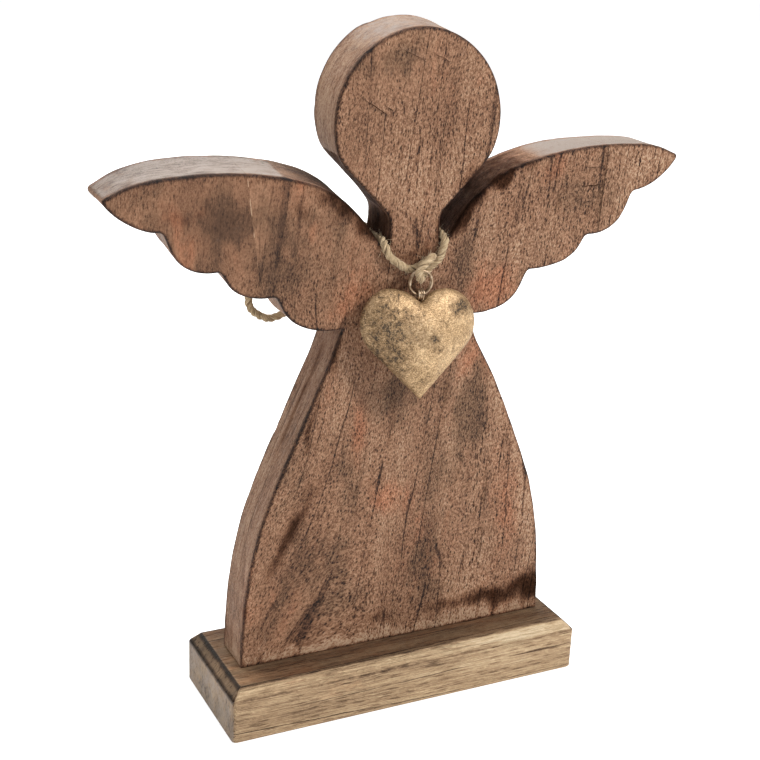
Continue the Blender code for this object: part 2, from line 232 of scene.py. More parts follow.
def loop_distance(points, loop):
    """For arrays of points: whether each is inside the loop, and its distance to the loop's points."""
    ring = np.array([tuple(p) for p in loop])
    after = np.roll(ring, -1, axis=0)
    inside = np.zeros(len(points), bool)
    away = np.zeros(len(points))
    for low in range(0, len(points), BATCH):
        batch = slice(low, low + BATCH)
        x, y = points[batch, 0:1], points[batch, 1:2]
        spans = (ring[:, 1] > y) != (after[:, 1] > y)
        rise = np.where(after[:, 1] == ring[:, 1], 1e-9, after[:, 1] - ring[:, 1])
        crossing = ring[:, 0] + (y - ring[:, 1]) / rise * (after[:, 0] - ring[:, 0])
        inside[batch] = (np.sum(spans & (x < crossing), axis=1) % 2) == 1
        away[batch] = np.sqrt(((x - ring[:, 0]) ** 2 + (y - ring[:, 1]) ** 2).min(axis=1))
    return inside, away


def grid_inside(loop, spacing, clear):
    """A triangular grid of points inside the loop that keeps clear of it."""
    xs = [p.x for p in loop]
    ys = [p.y for p in loop]
    row_step = spacing * math.sqrt(3) / 2
    grid = []
    for j in range(int((max(ys) - min(ys)) / row_step) + 1):
        offset = (j % 2) * spacing / 2
        for i in range(int((max(xs) - min(xs)) / spacing) + 1):
            grid.append((min(xs) + i * spacing + offset, min(ys) + j * row_step))
    grid = np.array(grid)
    inside, away = loop_distance(grid, loop)
    return grid[inside & (away > clear)]


def fill(loop, spots):
    """Triangles that fill the loop and use the spots. Corner numbers run through the loop, then the spots."""
    points = [Vector(p) for p in loop] + [Vector((float(x), float(y))) for x, y in spots]
    _, _, triangles, origins, *_ = delaunay_2d_cdt(points, [], [list(range(len(loop)))], 1, 1e-6)
    sources = [min(numbers) if numbers else None for numbers in origins]
    return [tuple(sources[i] for i in face) for face in triangles]


# ---------- meshes ----------


def make_object(name, points, faces, outwards=None):
    """A smooth mesh from millimetre points, its faces turned outwards, or towards outwards if it is open."""
    data = bpy.data.meshes.new(name)
    data.from_pydata([tuple(Vector(p) * MM) for p in points], [], faces)
    work = bmesh.new()
    work.from_mesh(data)
    bmesh.ops.recalc_face_normals(work, faces=work.faces)
    if outwards is not None and sum(face.normal.dot(outwards) for face in work.faces) < 0:
        bmesh.ops.reverse_faces(work, faces=work.faces)
    work.to_mesh(data)
    work.free()
    data.shade_smooth()
    made = bpy.data.objects.new(name, data)
    SCENE.collection.objects.link(made)
    return made


def add_values(obj, name, values):
    """A number for each vertex, which a material can read."""
    layer = obj.data.attributes.new(name, "FLOAT", "POINT")
    layer.data.foreach_set("value", np.array(values, np.float32))


def add_vectors(obj, name, vectors):
    layer = obj.data.attributes.new(name, "FLOAT_VECTOR", "POINT")
    layer.data.foreach_set("vector", np.array(vectors, np.float32).ravel())


def add_shades(obj, shades, grain, grain_shift=(0.0, 0.0, 0.0)):
    """Writes the wood layers from a {layer: value} and a grain place for each vertex. A layer that a vertex
    leaves out is 0 there, and a layer that the mesh already has stays as it is."""
    for name in WOOD_LAYERS:
        if name not in obj.data.attributes:
            add_values(obj, name, [entry.get(name, 0.0) for entry in shades])
    add_vectors(obj, "grain", np.array(grain) + np.array(grain_shift))


def shrunk(loop, distances):
    """The loop drawn inwards by each point's own distance, in small steps so that it never crosses itself."""
    steps = 8
    for _ in range(steps):
        loop = [p + n * d / steps for p, n, d in zip(loop, inward_normals(loop), distances)]
        loop = softened(loop, 1, lambda p: False)
    return loop


def ring_faces(base, count):
    """Faces between two rings of points, the second numbered on from the first."""
    faces = []
    for i in range(count):
        a, b = base + i, base + (i + 1) % count
        faces.append((a, b, b + count, a + count))
    return faces


def slab(outer, inner, rows_at, spacing, spots=()):
    """Points (across, up, height) and faces of a solid whose side runs through rows_at(i), a list of
    (share, height) with share 0 on the outer loop and 1 on the inner one, and whose two ends are filled with
    a grid. The spots are extra points wanted in both ends."""
    count = len(outer)
    rows = [rows_at(i) for i in range(count)]
    depth = len(rows[0])
    points = []
    for k in range(depth):
        for i in range(count):
            share, height = rows[i][k]
            point = outer[i].lerp(inner[i], share)
            points.append((point.x, point.y, height))
    faces = []
    for k in range(depth - 1):
        faces += ring_faces(k * count, count)
    for k in (0, depth - 1):
        rim = [Vector(points[k * count + i][:2]) for i in range(count)]
        inner = grid_inside(rim, spacing, 0.75 * spacing)
        wanted = np.array(spots).reshape(-1, 2)
        if len(wanted):
            apart = np.sqrt(((inner[:, None] - wanted[None]) ** 2).sum(axis=2).min(axis=1))
            inner = np.concatenate([inner[apart > 0.6 * spacing], wanted])
        base = len(points)
        points += [(x, y, points[k * count][2]) for x, y in inner]
        for face in fill(rim, inner):
            faces.append(tuple(k * count + i if i < count else base + i - count for i in face))
    return points, faces


def finish_piece(obj, body, material, node):
    """Gives a piece its material and its CAD body, and lets it stand for a CAD node."""
    obj.data.materials.clear()
    obj.data.materials.append(material)
    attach(obj, body)
    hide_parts(node)


# ---------- node materials ----------


class Graph:
    """A material's nodes, with short spellings for the ones used here."""

    def __init__(self, name):
        self.material = bpy.data.materials.new(name)
        self.material.use_nodes = True
        self.nodes = self.material.node_tree.nodes
        self.links = self.material.node_tree.links
        self.shader = self.nodes["Principled BSDF"]

    def add(self, kind, **settings):
        made = self.nodes.new(f"ShaderNode{kind}")
        for key, value in settings.items():
            setattr(made, key, value)
        return made

    def feed(self, socket, value):
        """Links a socket to another one's output, or sets it."""
        if isinstance(value, bpy.types.NodeSocket):
            self.links.new(value, socket)
        elif value is not None:
            socket.default_value = value

    def set(self, **inputs):
        """Feeds the shader's inputs, whose names have _ for their spaces."""
        for key, value in inputs.items():
            self.feed(self.shader.inputs[key.replace("_", " ")], value)

    def place(self):
        """The point in the row frame, in millimetres."""
        return self.scaled(self.add("TexCoord").outputs["Object"], (1 / MM,) * 3)

    def attribute(self, name, output="Fac"):
        return self.add("Attribute", attribute_name=name).outputs[output]

    def split(self, vector):
        made = self.add("SeparateXYZ")
        self.feed(made.inputs[0], vector)
        return made.outputs

    def join(self, x, y, z):
        made = self.add("CombineXYZ")
        for socket, value in zip(made.inputs, (x, y, z)):
            self.feed(socket, value)
        return made.outputs[0]

    def math(self, operation, a, b=None):
        made = self.add("Math", operation=operation)
        for socket, value in zip(made.inputs, (a, b)):
            self.feed(socket, value)
        return made.outputs[0]

    def times(self, a, b):
        return self.math("MULTIPLY", a, b)

    def plus(self, a, b):
        return self.math("ADD", a, b)

    def centred(self, value):
        """A value from 0 to 1, moved to run from -0.5 to 0.5."""
        return self.math("SUBTRACT", value, 0.5)

    def without(self, share):
        return self.math("SUBTRACT", 1.0, share)

    def total(self, *terms):
        """The sum of (factor, socket) terms."""
        result = None
        for factor, socket in terms:
            part = self.times(socket, factor)
            result = part if result is None else self.plus(result, part)
        return result

    def scaled(self, vector, by):
        return self.vector_math("MULTIPLY", vector, by)

    def moved(self, vector, by):
        return self.vector_math("ADD", vector, by)

    def vector_math(self, operation, vector, by):
        made = self.add("VectorMath", operation=operation)
        self.feed(made.inputs[0], vector)
        self.feed(made.inputs[1], by)
        return made.outputs[0]

    def noise(self, at, scale=1.0, detail=2.0, roughness=0.5, distortion=0.0):
        """Noise from 0 to 1, whose features are about 1/scale long."""
        made = self.add("TexNoise")
        self.feed(made.inputs["Vector"], at)
        settings = {"Scale": scale, "Detail": detail, "Roughness": roughness, "Distortion": distortion}
        for key, value in settings.items():
            made.inputs[key].default_value = value
        return made.outputs["Fac"]

    def cells(self, at, scale=1.0):
        """How far the nearest of some scattered points is."""
        made = self.add("TexVoronoi")
        self.feed(made.inputs["Vector"], at)
        made.inputs["Scale"].default_value = scale
        return made.outputs["Distance"]

    def step(self, value, low, high, start=0.0, end=1.0):
        """A smooth rise from start to end as value goes from low to high."""
        made = self.add("MapRange", interpolation_type="SMOOTHSTEP")
        for socket, number in zip(made.inputs, (value, low, high, start, end)):
            self.feed(socket, number)
        return made.outputs[0]

    def ramp(self, value, stops):
        made = self.add("ValToRGB")
        elements = made.color_ramp.elements
        while len(elements) < len(stops):
            elements.new(0.5)
        for element, (position, colour) in zip(elements, stops):
            element.position = position
            element.color = (*colour, 1.0)
        self.feed(made.inputs[0], value)
        return made.outputs[0]

    def tinted(self, share, colour, tint):
        """The colour, a share of it multiplied by the tint."""
        return self.mix(share, colour, self.mix(1.0, colour, tint, "MULTIPLY"))

    def mix(self, share, a, b, blend="MIX"):
        made = self.add("Mix", data_type="RGBA", blend_type=blend)
        self.feed(made.inputs[0], share)
        for socket, value in ((made.inputs[6], a), (made.inputs[7], b)):
            self.feed(socket, (*value, 1.0) if isinstance(value, tuple) and len(value) == 3 else value)
        return made.outputs[2]

    def bump(self, height, depth, strength=1.0):
        """Bump whose height runs over depth, in millimetres."""
        made = self.add("Bump")
        made.inputs["Strength"].default_value = strength
        made.inputs["Distance"].default_value = depth * MM
        self.feed(made.inputs["Height"], height)
        return made.outputs["Normal"]


WOOD_STOPS = [
    (0.00, (0.008, 0.004, 0.003)),
    (0.20, (0.036, 0.016, 0.009)),
    (0.42, (0.112, 0.052, 0.029)),
    (0.62, (0.225, 0.112, 0.062)),
    (0.82, (0.345, 0.190, 0.112)),
    (1.00, (0.480, 0.320, 0.210)),
]
PLINTH_STOPS = [
    (0.00, (0.018, 0.010, 0.005)),
    (0.22, (0.078, 0.044, 0.024)),
    (0.45, (0.225, 0.142, 0.080)),
    (0.65, (0.400, 0.270, 0.155)),
    (0.85, (0.560, 0.410, 0.250)),
    (1.00, (0.680, 0.540, 0.360)),
]
JUTE_STOPS = [
    (0.22, (0.055, 0.033, 0.016)),
    (0.50, (0.25, 0.168, 0.090)),
    (0.76, (0.47, 0.345, 0.205)),
    (0.98, (0.68, 0.54, 0.36)),
]
GOLD_STOPS = [(0.28, (0.22, 0.140, 0.068)), (0.47, (0.54, 0.355, 0.185)), (0.68, (0.88, 0.67, 0.42))]
WIRE_STOPS = [(0.30, (0.14, 0.085, 0.050)), (0.50, (0.46, 0.33, 0.215)), (0.72, (0.80, 0.66, 0.50))]
ZINC_STOPS = [(0.30, (0.33, 0.32, 0.29)), (0.60, (0.60, 0.59, 0.55)), (0.80, (0.74, 0.73, 0.70))]
FLOOR_STOPS = [(0.3, (0.90, 0.90, 0.90)), (0.7, (0.92, 0.92, 0.92))]
# The pale colour of dust, also used as a painted sheen on edges that face up or left.
DUST_AND_SHEEN = (0.32, 0.262, 0.222)
GRIME = (0.035, 0.024, 0.016)
RED_TINT = (1.20, 0.95, 0.86)
GREY_TINT = (0.86, 0.93, 0.94)
# Darkens the tarnish and the painted shade on the heart's left side.
TARNISH_AND_SHADE_TINT = (0.46, 0.42, 0.38)
WOOD_LAYERS = ("lift", "dull", "red", "scorch", "pale", "relief", "pits", "rim", "groove", "sawn")


def wood(name, stops, base, lines=1.0, bands=1.5, worms=0.36, fibres=0.30, fibre_rate=0.20, strokes=0.44):
    """Oiled open-pored wood. It reads the vertex layer grain (across, along and through the fibres, in mm)
    and the WOOD_LAYERS: lift (lighter), dull (grey-brown), red, scorch, pale (dust, and painted sheen on
    sawn edges that face up or to the left), relief (raised fibres), pits (open pores), sawn (a sawn edge),
    rim (distance to the arris, in mm) and groove (depth of a check, in mm). The value runs from 0, the
    darkest of the stops, to 1, the lightest."""
    g = Graph(name)
    across, along, through = g.split(g.attribute("grain", "Vector"))
    drift = g.noise(g.join(g.times(across, 0.04), g.times(along, 0.009), through), 1.0, 2)
    side = g.plus(across, g.times(g.centred(drift), 9.0))

    def stretched(x_rate, y_rate):
        """The fibre frame squeezed by rates per mm, so that features run along the fibres."""
        return g.join(g.times(side, x_rate), g.times(along, y_rate), g.times(through, x_rate))

    relief = g.attribute("relief")
    band = g.noise(stretched(0.11, 0.004), 1.0, 3, 0.6)
    ridge = g.math("ABSOLUTE", g.centred(g.noise(stretched(0.085, 0.0035), 1.0, 1)))
    broken = g.step(g.noise(stretched(0.2, 0.03)), 0.38, 0.58)
    line = g.times(g.times(g.step(ridge, 0.003, 0.015, 1.0, 0.0), broken), relief)
    fibre = g.noise(stretched(2.3, fibre_rate), 1.0, 3, 0.65)
    worm = g.step(g.noise(stretched(1.45, 0.75), 1.0, 2, 0.55, 0.9), 0.38, 0.62)
    pore = g.step(g.cells(stretched(0.66, 0.16)), 0.16, 0.42, 1.0, 0.0)
    pore = g.times(pore, g.attribute("pits"))
    stroke = g.step(g.cells(stretched(0.95, 0.36)), 0.12, 0.40, 1.0, 0.0)
    stroke = g.times(stroke, relief)
    cloud = g.noise(stretched(0.045, 0.018), 1.0, 4, 0.6)
    sanded = g.noise(g.scaled(g.place(), (0.09, 0.50, 0.09)), 1.0, 5, 0.75)
    mood = g.noise(stretched(0.060, 0.022), 1.0, 4, 0.62, 0.4)
    blotch = g.noise(stretched(0.20, 0.075), 1.0, 4, 0.6)
    ragged = g.noise(g.place(), 0.22, 5, 0.7)

    def patch(layer, low, high, lean=0.0):
        """A painted layer with an uneven border that follows the fibres. The lean adds patches of its own."""
        shares = ((0.50, ragged), (0.70, blotch), (0.50, fibre), (lean, mood))
        border = g.total(*[(share, g.centred(field)) for share, field in shares])
        return g.step(g.plus(g.attribute(layer), border), low, high)

    dull = patch("dull", 0.12, 0.75, 1.5)
    texture = g.total((worms, g.centred(worm)), (fibres, g.centred(fibre)))
    value = g.total(
        (1.0, g.times(texture, relief)),
        (0.20 * bands, g.centred(band)),
        (-0.30 * lines, line),
        (-0.42, pore),
        (-strokes, stroke),
        (0.40, g.centred(cloud)),
        (0.24, g.centred(blotch)),
        (1.0, g.attribute("lift")),
        (0.95, g.times(g.centred(sanded), g.attribute("sawn"))),
    )
    value = g.plus(value, base)
    value = g.math("SUBTRACT", value, g.times(dull, 0.20))

    rim = g.plus(g.attribute("rim"), g.times(g.centred(ragged), 1.6))
    edge = g.step(rim, 0.2, 1.9, 0.38, 0.0)
    groove = g.step(g.attribute("groove"), 0.16, 0.5)
    burnt = g.math("MAXIMUM", patch("scorch", 0.12, 1.15), groove)
    value = g.math("SUBTRACT", value, edge)
    value = g.times(value, g.without(g.times(burnt, 0.70)))

    colour = g.ramp(value, stops)
    colour = g.tinted(patch("red", 0.15, 0.80, -1.5), colour, RED_TINT)
    colour = g.tinted(dull, colour, GREY_TINT)
    # Dust, with painted sheen on the edges that face up or left.
    dust_and_sheen = g.times(patch("pale", 0.10, 0.70), g.without(burnt))
    dust_and_sheen = g.times(dust_and_sheen, g.step(g.plus(value, g.centred(sanded)), 0.05, 0.75, 0.3, 0.95))
    colour = g.mix(dust_and_sheen, colour, DUST_AND_SHEEN)

    rough = g.total((0.22, fibre), (0.16, pore), (0.22, burnt), (-0.08, dust_and_sheen))
    g.set(Base_Color=colour, Roughness=g.plus(rough, 0.44))
    shine = g.total((-0.20, burnt), (0.15, dust_and_sheen))
    g.set(Specular_IOR_Level=g.plus(shine, 0.20))
    raised = g.times(worm, relief)
    height = g.total((0.45, fibre), (0.8, raised), (-1.0, pore), (-0.7, line), (-0.7, stroke))
    g.set(Normal=g.bump(height, 0.24, 0.9))
    return g.material


def jute():
    """Hairy plant fibre. It reads the vertex layer strand, a frame that turns with each ply's own twist,
    and a layer of painted shade in the gaps between the plies.
    """
    g = Graph("jute_fibre")
    strand = g.attribute("strand", "Vector")
    fibre = g.noise(g.scaled(strand, (1.15, 1.15, 0.11)), 1.0, 4, 0.75)
    patch = g.noise(g.place(), 0.35, 2)
    # Painted shade in the gaps between the plies.
    gap_shade = g.attribute("gap_shade")
    value = g.math("SUBTRACT", g.total((1.7, fibre), (0.45, patch), (-1.0, gap_shade)), 0.38)
    g.set(Base_Color=g.ramp(value, JUTE_STOPS), Roughness=0.88, Normal=g.bump(fibre, 0.35, 1.0))
    g.set(Sheen_Weight=0.08, Sheen_Roughness=0.6, Specular_IOR_Level=0.25)
    return g.material


def aged_gold():
    """Thin gold leaf gone dull, pitted and dirty in the hollows, with painted shade darkening the heart's
    left side.
    """
    g = Graph("aged_gold_leaf")
    place = g.place()
    cloud = g.noise(place, 0.075, 3, 0.6)
    grime_and_shade = g.noise(g.moved(place, (31.0, 4.0, 8.0)), 0.16, 6, 0.72)
    speck = g.noise(place, 1.5, 4, 0.7)
    fleck = g.noise(place, 1.1, 5, 0.8)
    pit = g.step(g.cells(g.moved(place, (3.0, 0.0, 0.0)), 0.42), 0.05, 0.16, 1.0, 0.0)
    pit = g.times(pit, g.step(grime_and_shade, 0.46, 0.58))
    crust = g.noise(g.moved(place, (7.0, 19.0, 3.0)), 0.42, 5, 0.75)
    # The vertex layer adds painted shade on the heart's left side to the dirt.
    dirt_and_shade = g.total((0.9, g.attribute("grime_and_shade")), (1.0, g.centred(grime_and_shade)), (1.7, g.centred(crust)))
    spotted = g.step(g.plus(dirt_and_shade, g.times(g.centred(fleck), 2.2)), 0.54, 0.62)
    # Tarnish with painted shade: a soft darkening, strongest on the heart's left side.
    tarnish_and_shade = g.step(g.plus(dirt_and_shade, g.times(g.centred(cloud), 0.8)), -0.10, 0.48)
    scratch = g.noise(g.scaled(place, (0.9, 0.9, 2.2)), 1.3, 4, 0.75, 1.2)
    tone = g.total((0.50, cloud), (0.42, speck), (1.0, g.centred(scratch)))
    tone = g.plus(tone, g.times(g.centred(speck), 0.6))
    colour = g.ramp(tone, GOLD_STOPS)
    colour = g.tinted(tarnish_and_shade, colour, TARNISH_AND_SHADE_TINT)
    dark = g.math("MAXIMUM", spotted, pit)
    colour = g.mix(g.times(dark, 0.90), colour, GRIME)
    g.set(Base_Color=colour, Metallic=g.step(dark, 0.1, 0.9, 0.55, 0.10))
    g.set(Roughness=g.plus(g.total((0.35, speck), (0.25, dark)), 0.36))
    height = g.total((0.9, speck), (0.5, grime_and_shade), (0.6, scratch), (-1.2, dark))
    g.set(Normal=g.bump(height, 0.16, 0.9))
    return g.material


def old_wire():
    """Brass wire with a coppery bloom."""
    g = Graph("old_brass_wire")
    place = g.place()
    bloom = g.noise(place, 0.5, 4, 0.6)
    g.set(Base_Color=g.ramp(bloom, WIRE_STOPS), Metallic=0.9, Roughness=g.step(bloom, 0.3, 0.7, 0.5, 0.28))
    g.set(Normal=g.bump(g.noise(place, 4.0, 3), 0.05, 0.6))
    return g.material


def zinc():
    """Bright plated steel with rubbed patches."""
    g = Graph("zinc_plate")
    rub = g.noise(g.place(), 1.2, 4, 0.65)
    g.set(Base_Color=g.ramp(rub, ZINC_STOPS), Metallic=1.0, Roughness=g.step(rub, 0.3, 0.8, 0.5, 0.3))
    g.set(Normal=g.bump(g.noise(g.place(), 6.0, 2), 0.03, 0.5))
    return g.material


# ---------- the sawn angel ----------

OUTLINE_STEP = 1.15
OUTLINE_GROWTH = 0.40  # makes up for the softened arrises
FACE_STEP = 2.1
ARRIS_STEPS = 4
SIDE_STEPS = 9

# Painted areas of the front: (x, z, half width, half height, lean in degrees, strength).
SCORCHED = [
    (-52.5, 160, 2.2, 17, 14, 0.85),
    (-62, 102, 3.6, 26, 30, 0.95),
    (-58, 112, 8, 28, 30, 0.40),
    (-41.5, 192, 2.4, 12, 8, 0.75),
    (-8, 158, 2.2, 20, 6, 0.42),
    (22, 168, 2.4, 22, 6, 0.46),
    (30, 108, 2, 30, 10, 0.40),
    (-20, 92, 2, 24, 12, 0.36),
    (84, 44, 18, 8.5, 0, 1.35),
    (58, 43, 20, 6.5, 0, 1.10),
    (34, 42, 20, 4.5, 0, 0.72),
    (-12, 44, 12, 6, 0, 0.50),
    (-40, 43, 16, 4, 0, 0.40),
    (-60, 266, 4.5, 5, 0, 0.62),
    (-40, 262, 7, 4, -30, 0.42),
    (-98, 266.5, 30, 4.5, -4, 0.30),
    (-70, 279, 26, 2.6, 14, 0.55),
    (-40, 268, 16, 5, 36, 1.05),
    (82, 262, 3.6, 9, 10, 0.42),
    (26, 260, 5, 18, 38, 1.40),
    (46, 276.5, 18, 4.4, -24, 1.35),
    (-26, 257, 4.6, 14, -42, 1.25),
    (29, 279, 3.2, 15, 45, 0.62),
    (-88, 62, 2.4, 14, 0, 0.55),
    (0, 240, 16, 5.5, 0, 0.62),
    (-2, 227, 12, 9, 0, 0.42),
    (14.5, 254, 2.4, 9, 0, 0.80),
    (-14.5, 254, 2.4, 9, 0, 0.80),
]
DULLED = [
    (37, 152, 9, 18, 8, 1.15),
    (16, 122, 20, 34, 8, 0.30),
    (-30, 124, 12, 28, 10, 0.50),
    (2, 172, 28, 18, 0, 0.54),
    (16, 68, 15, 30, 10, 0.72),
    (30, 235, 8, 17, 0, 0.62),
    (-92, 264, 50, 12, 6, 0.60),
    (-76, 240, 22, 20, 0, 0.50),
    (-140, 274, 22, 10, 20, 0.20),
    (-72, 238, 24, 18, 0, 0.62),
    (-18, 336, 20, 10, -20, 0.50),
    (-62, 150, 10, 40, 18, 0.45),
    (92, 266, 24, 12, 0, 0.42),
    (-40, 55, 30, 16, 0, 0.50),
    (-50, 80, 20, 24, 20, 0.66),
]
REDDENED = [
    (38, 184, 10, 13, 20, 0.60),
    (-27, 150, 4.5, 14, 6, 0.62),
    (-8, 112, 12, 10, 30, 0.66),
    (62, 92, 13, 40, 4, 0.50),
    (14, 84, 8, 26, 8, 0.45),
    (46, 220, 16, 14, 0, 0.75),
    (78, 280, 16, 7, 0, 0.45),
    (-53, 257, 6, 10, 20, 0.50),
    (-64, 273, 8, 6, 0, 0.50),
    (-114, 252, 14, 12, 0, 0.36),
    (-122, 266, 16, 8, 0, 0.40),
    (-35, 222, 10, 16, 20, 0.60),
    (20, 300, 20, 30, 0, 0.25),
    (-70, 60, 16, 20, 20, 0.30),
]
LIGHTENED = [
    (63, 150, 9, 26, -28, 0.85),
    (44, 118, 4, 26, 8, 0.45),
    (44, 62, 14, 20, 6, 0.40),
    (78, 84, 6, 36, -8, 0.55),
    (0, 31, 120, 3.6, 0, 2.10),
    (142, 278, 18, 9, -20, 0.50),
    (60, 240, 22, 20, 0, 0.25),
    (10, 276, 24, 15, 0, 0.80),
    (-2, 262, 9, 10, 0, 0.30),
    (-52, 258, 5, 9, 20, 0.45),
    (-124, 252, 12, 12, 0, 0.45),
    (-138, 272, 18, 9, 0, 0.60),
    (30, 318, 12, 14, 0, 0.20),
]

SEAM_HEIGHT = 265.0  # a glue line's x is told at this height
LEFT_SEAM_LEAN = math.radians(-7.3)
RIGHT_SEAM_LEAN = math.radians(2.5)
# The glue lines on the faces: (x, lean, half width, depth).
GLUE_LINES = [(LEFT_SEAM, LEFT_SEAM_LEAN, 0.30, 0.14), (RIGHT_SEAM, RIGHT_SEAM_LEAN, 0.40, 0.55)]

# Where the fibres lie flat, and where the pores stand open.
SMOOTHED = [
    (-100, 262, 62, 36, 0, 0.74),
    (-14, 334, 26, 16, -10, 0.40),
    (-62, 60, 20, 40, 20, 0.30),
]
PITTED = [
    (45, 122, 4.5, 34, 4, 1),
    (44, 70, 5, 36, 2, 1),
    (64, 90, 16, 60, -4, 0.42),
    (92, 262, 60, 26, 0, 0.50),
    (6, 54, 40, 22, 0, 0.50),
    (6, 284, 26, 34, 0, 0.50),
    (-34, 190, 20, 50, 0, 0.12),
]

# Checks in the wood of the front face: (start x, z, end x, z, half width, depth).
CRACKS = [
    (-30.5, 318, -16, 309, 0.30, 0.8),
    (-18.5, 314.5, -14.5, 311.5, 0.30, 0.7),
    (-12.5, 341, 2, 334.5, 0.22, 0.5),
    (4, 339, 15.5, 333.5, 0.25, 0.6),
    (94, 269.5, 107.3, 270.3, 0.26, 0.8),
    (96, 279.6, 107.4, 279, 0.18, 0.5),
    (95, 262, 104, 261.6, 0.14, 0.4),
    (-74, 66, -67, 57, 0.16, 0.4),
    (-56, 32, -53.5, 39, 0.16, 0.4),
    (26.5, 36, 28, 58, 0.16, 0.4),
    (50, 96, 50.8, 120, 0.20, 0.5),
    (49.4, 66, 50, 88, 0.20, 0.5),
    (-26.5, 112, -21.5, 142, 0.14, 0.4),
]


def painted(areas, x, z):
    """The strongest of the painted areas' effects at a place on the front."""
    value = 0.0
    x += 2.6 * smooth_noise((x, z, 0.0), 9.0, 3.0)
    z += 7.0 * smooth_noise((x, 0.5 * z, 9.0), 8.0, 6.0)
    for cx, cz, half_width, half_height, lean, strength in areas:
        dx, dz = x - cx, z - cz
        angle = math.radians(lean)
        across = (dx * math.cos(angle) - dz * math.sin(angle)) / half_width
        up = (dx * math.sin(angle) + dz * math.cos(angle)) / half_height
        distance = across * across + up * up
        if distance < 6:
            value = max(value, strength * math.exp(-0.8 * distance))
    return value


def whole_outline():
    """The angel's outline, spliced from the sections of its three boards."""
    level = Vector((0, -0.6 * BOARD_HALF, 0))
    right, up = Vector((1, 0, 0)), Vector((0, 0, 1))
    outline = section("centre_board", level, right, up)
    for node, seam in (("left_wing_board", LEFT_SEAM), ("right_wing_board", RIGHT_SEAM)):
        outline = past_cut(section(node, level, right, up), seam) + past_cut(outline, seam)
    return outline


SEAM_REACH = 6.0  # how far a glue line strays from its x
SHORTEST_SEAM = 20.0


def on_seam(point, seam):
    """Whether an outline point belongs to the straight cut at a glue line."""
    return point.y > WING_FOOT and abs(point.x - seam) < SEAM_REACH


def past_cut(loop, seam):
    """The loop without the two ends of its straight cut along a seam. It starts past the cut."""
    pairs = zip(loop, [*loop[1:], loop[0]])
    cuts = [on_seam(a, seam) and on_seam(b, seam) and abs(a.y - b.y) > SHORTEST_SEAM for a, b in pairs]
    first = cuts.index(True)
    return [loop[(first + i) % len(loop)] for i in range(2, len(loop))]


def groove_spots(start, end, half_width, depth, wander):
    """(x, z, depth) points for a groove: a deep middle line between two rails."""
    along = (end - start).normalized()
    side = Vector((-along.y, along.x))
    steps = max(3, round((end - start).length / 0.9))
    spots = []
    for i in range(steps + 1):
        share = i / steps
        taper = min(1.0, 4 * share, 4 * (1 - share)) if wander else 1.0
        middle = start.lerp(end, share)
        middle += side * wander * smooth_noise((middle.x, middle.y, 0.0), 2.2, 4.0)
        for offset in (-1, 0, 1):
            spot = middle + side * offset * half_width * (0.4 + 0.6 * taper)
            spots.append((spot.x, spot.y, depth * taper if offset == 0 else 0.0))
    return spots


def all_grooves(loop):
    spots = []
    for x0, z0, x1, z1, half_width, depth in CRACKS:
        spots += groove_spots(Vector((x0, z0)), Vector((x1, z1)), half_width, depth, 0.5)
    for x, lean, half_width, depth in GLUE_LINES:
        ends = []
        for p, q in zip(loop, [*loop[1:], loop[0]]):
            a, b = beyond(p.to_3d().xzy, (x, lean)), beyond(q.to_3d().xzy, (x, lean))
            if a * b < 0 and p.y > WING_FOOT:
                ends.append(p.lerp(q, a / (a - b)))
        ends.sort(key=lambda p: p.y)
        short = (ends[-1] - ends[0]).normalized() * 1.6
        spots += groove_spots(ends[0] + short, ends[-1] - short, half_width, depth, 0.0)
    return spots


def arris_radius(point):
    """How far the arris is rounded at a place on the outline: hand sanding, with a few knocks."""
    radius = 1.15 + 0.45 * smooth_noise((point.x, point.y, 0.0), 14.0, 2.0)
    radius += 1.6 * max(0.0, smooth_noise((point.x, point.y, 0.0), 7.0, 9.0) - 0.35)
    share = smooth_step(BOARD_FOOT + 1.0, BOARD_FOOT + 9.0, point.y)
    return 0.35 + share * max(0.25, radius - 0.35)


def grain_lean(x, z):
    """How far the fibres have wandered sideways at a place: they fan out down the robe's left side."""
    robe = smooth_step(230.0, 170.0, z)
    left = smooth_step(-10.0, -75.0, x)
    right = smooth_step(20.0, 75.0, x)
    slope = 0.10 + robe * (0.26 * left - 0.06 * right)
    return slope * (z - 150.0)


def saw_lean(x, z):
    """How much higher the outline was sawn at the back than in front: most on the left wing and the head."""
    high = smooth_step(206.0, 226.0, z)
    left = 4.0 * smooth_step(0.0, -24.0, x) * high * smooth_step(-175.0, -120.0, x)
    head = 3.0 * smooth_step(250.0, 285.0, z) * smooth_step(56.0, 46.0, abs(x))
    right = 0.9 * smooth_step(20.0, 40.0, x) * smooth_step(110.0, 80.0, x) * high
    return max(left, head, right)


def wobbled(loop):
    """The outline with the small waves of a hand-held cut, grown by OUTLINE_GROWTH above its foot."""
    points = []
    for point, normal in zip(loop, inward_normals(loop)):
        wobble = 0.22 * smooth_noise((point.x, point.y, 0.0), 11.0, 5.0) - OUTLINE_GROWTH
        points.append(point + normal * wobble * smooth_step(BOARD_FOOT + 0.5, BOARD_FOOT + 6.0, point.y))
    return points


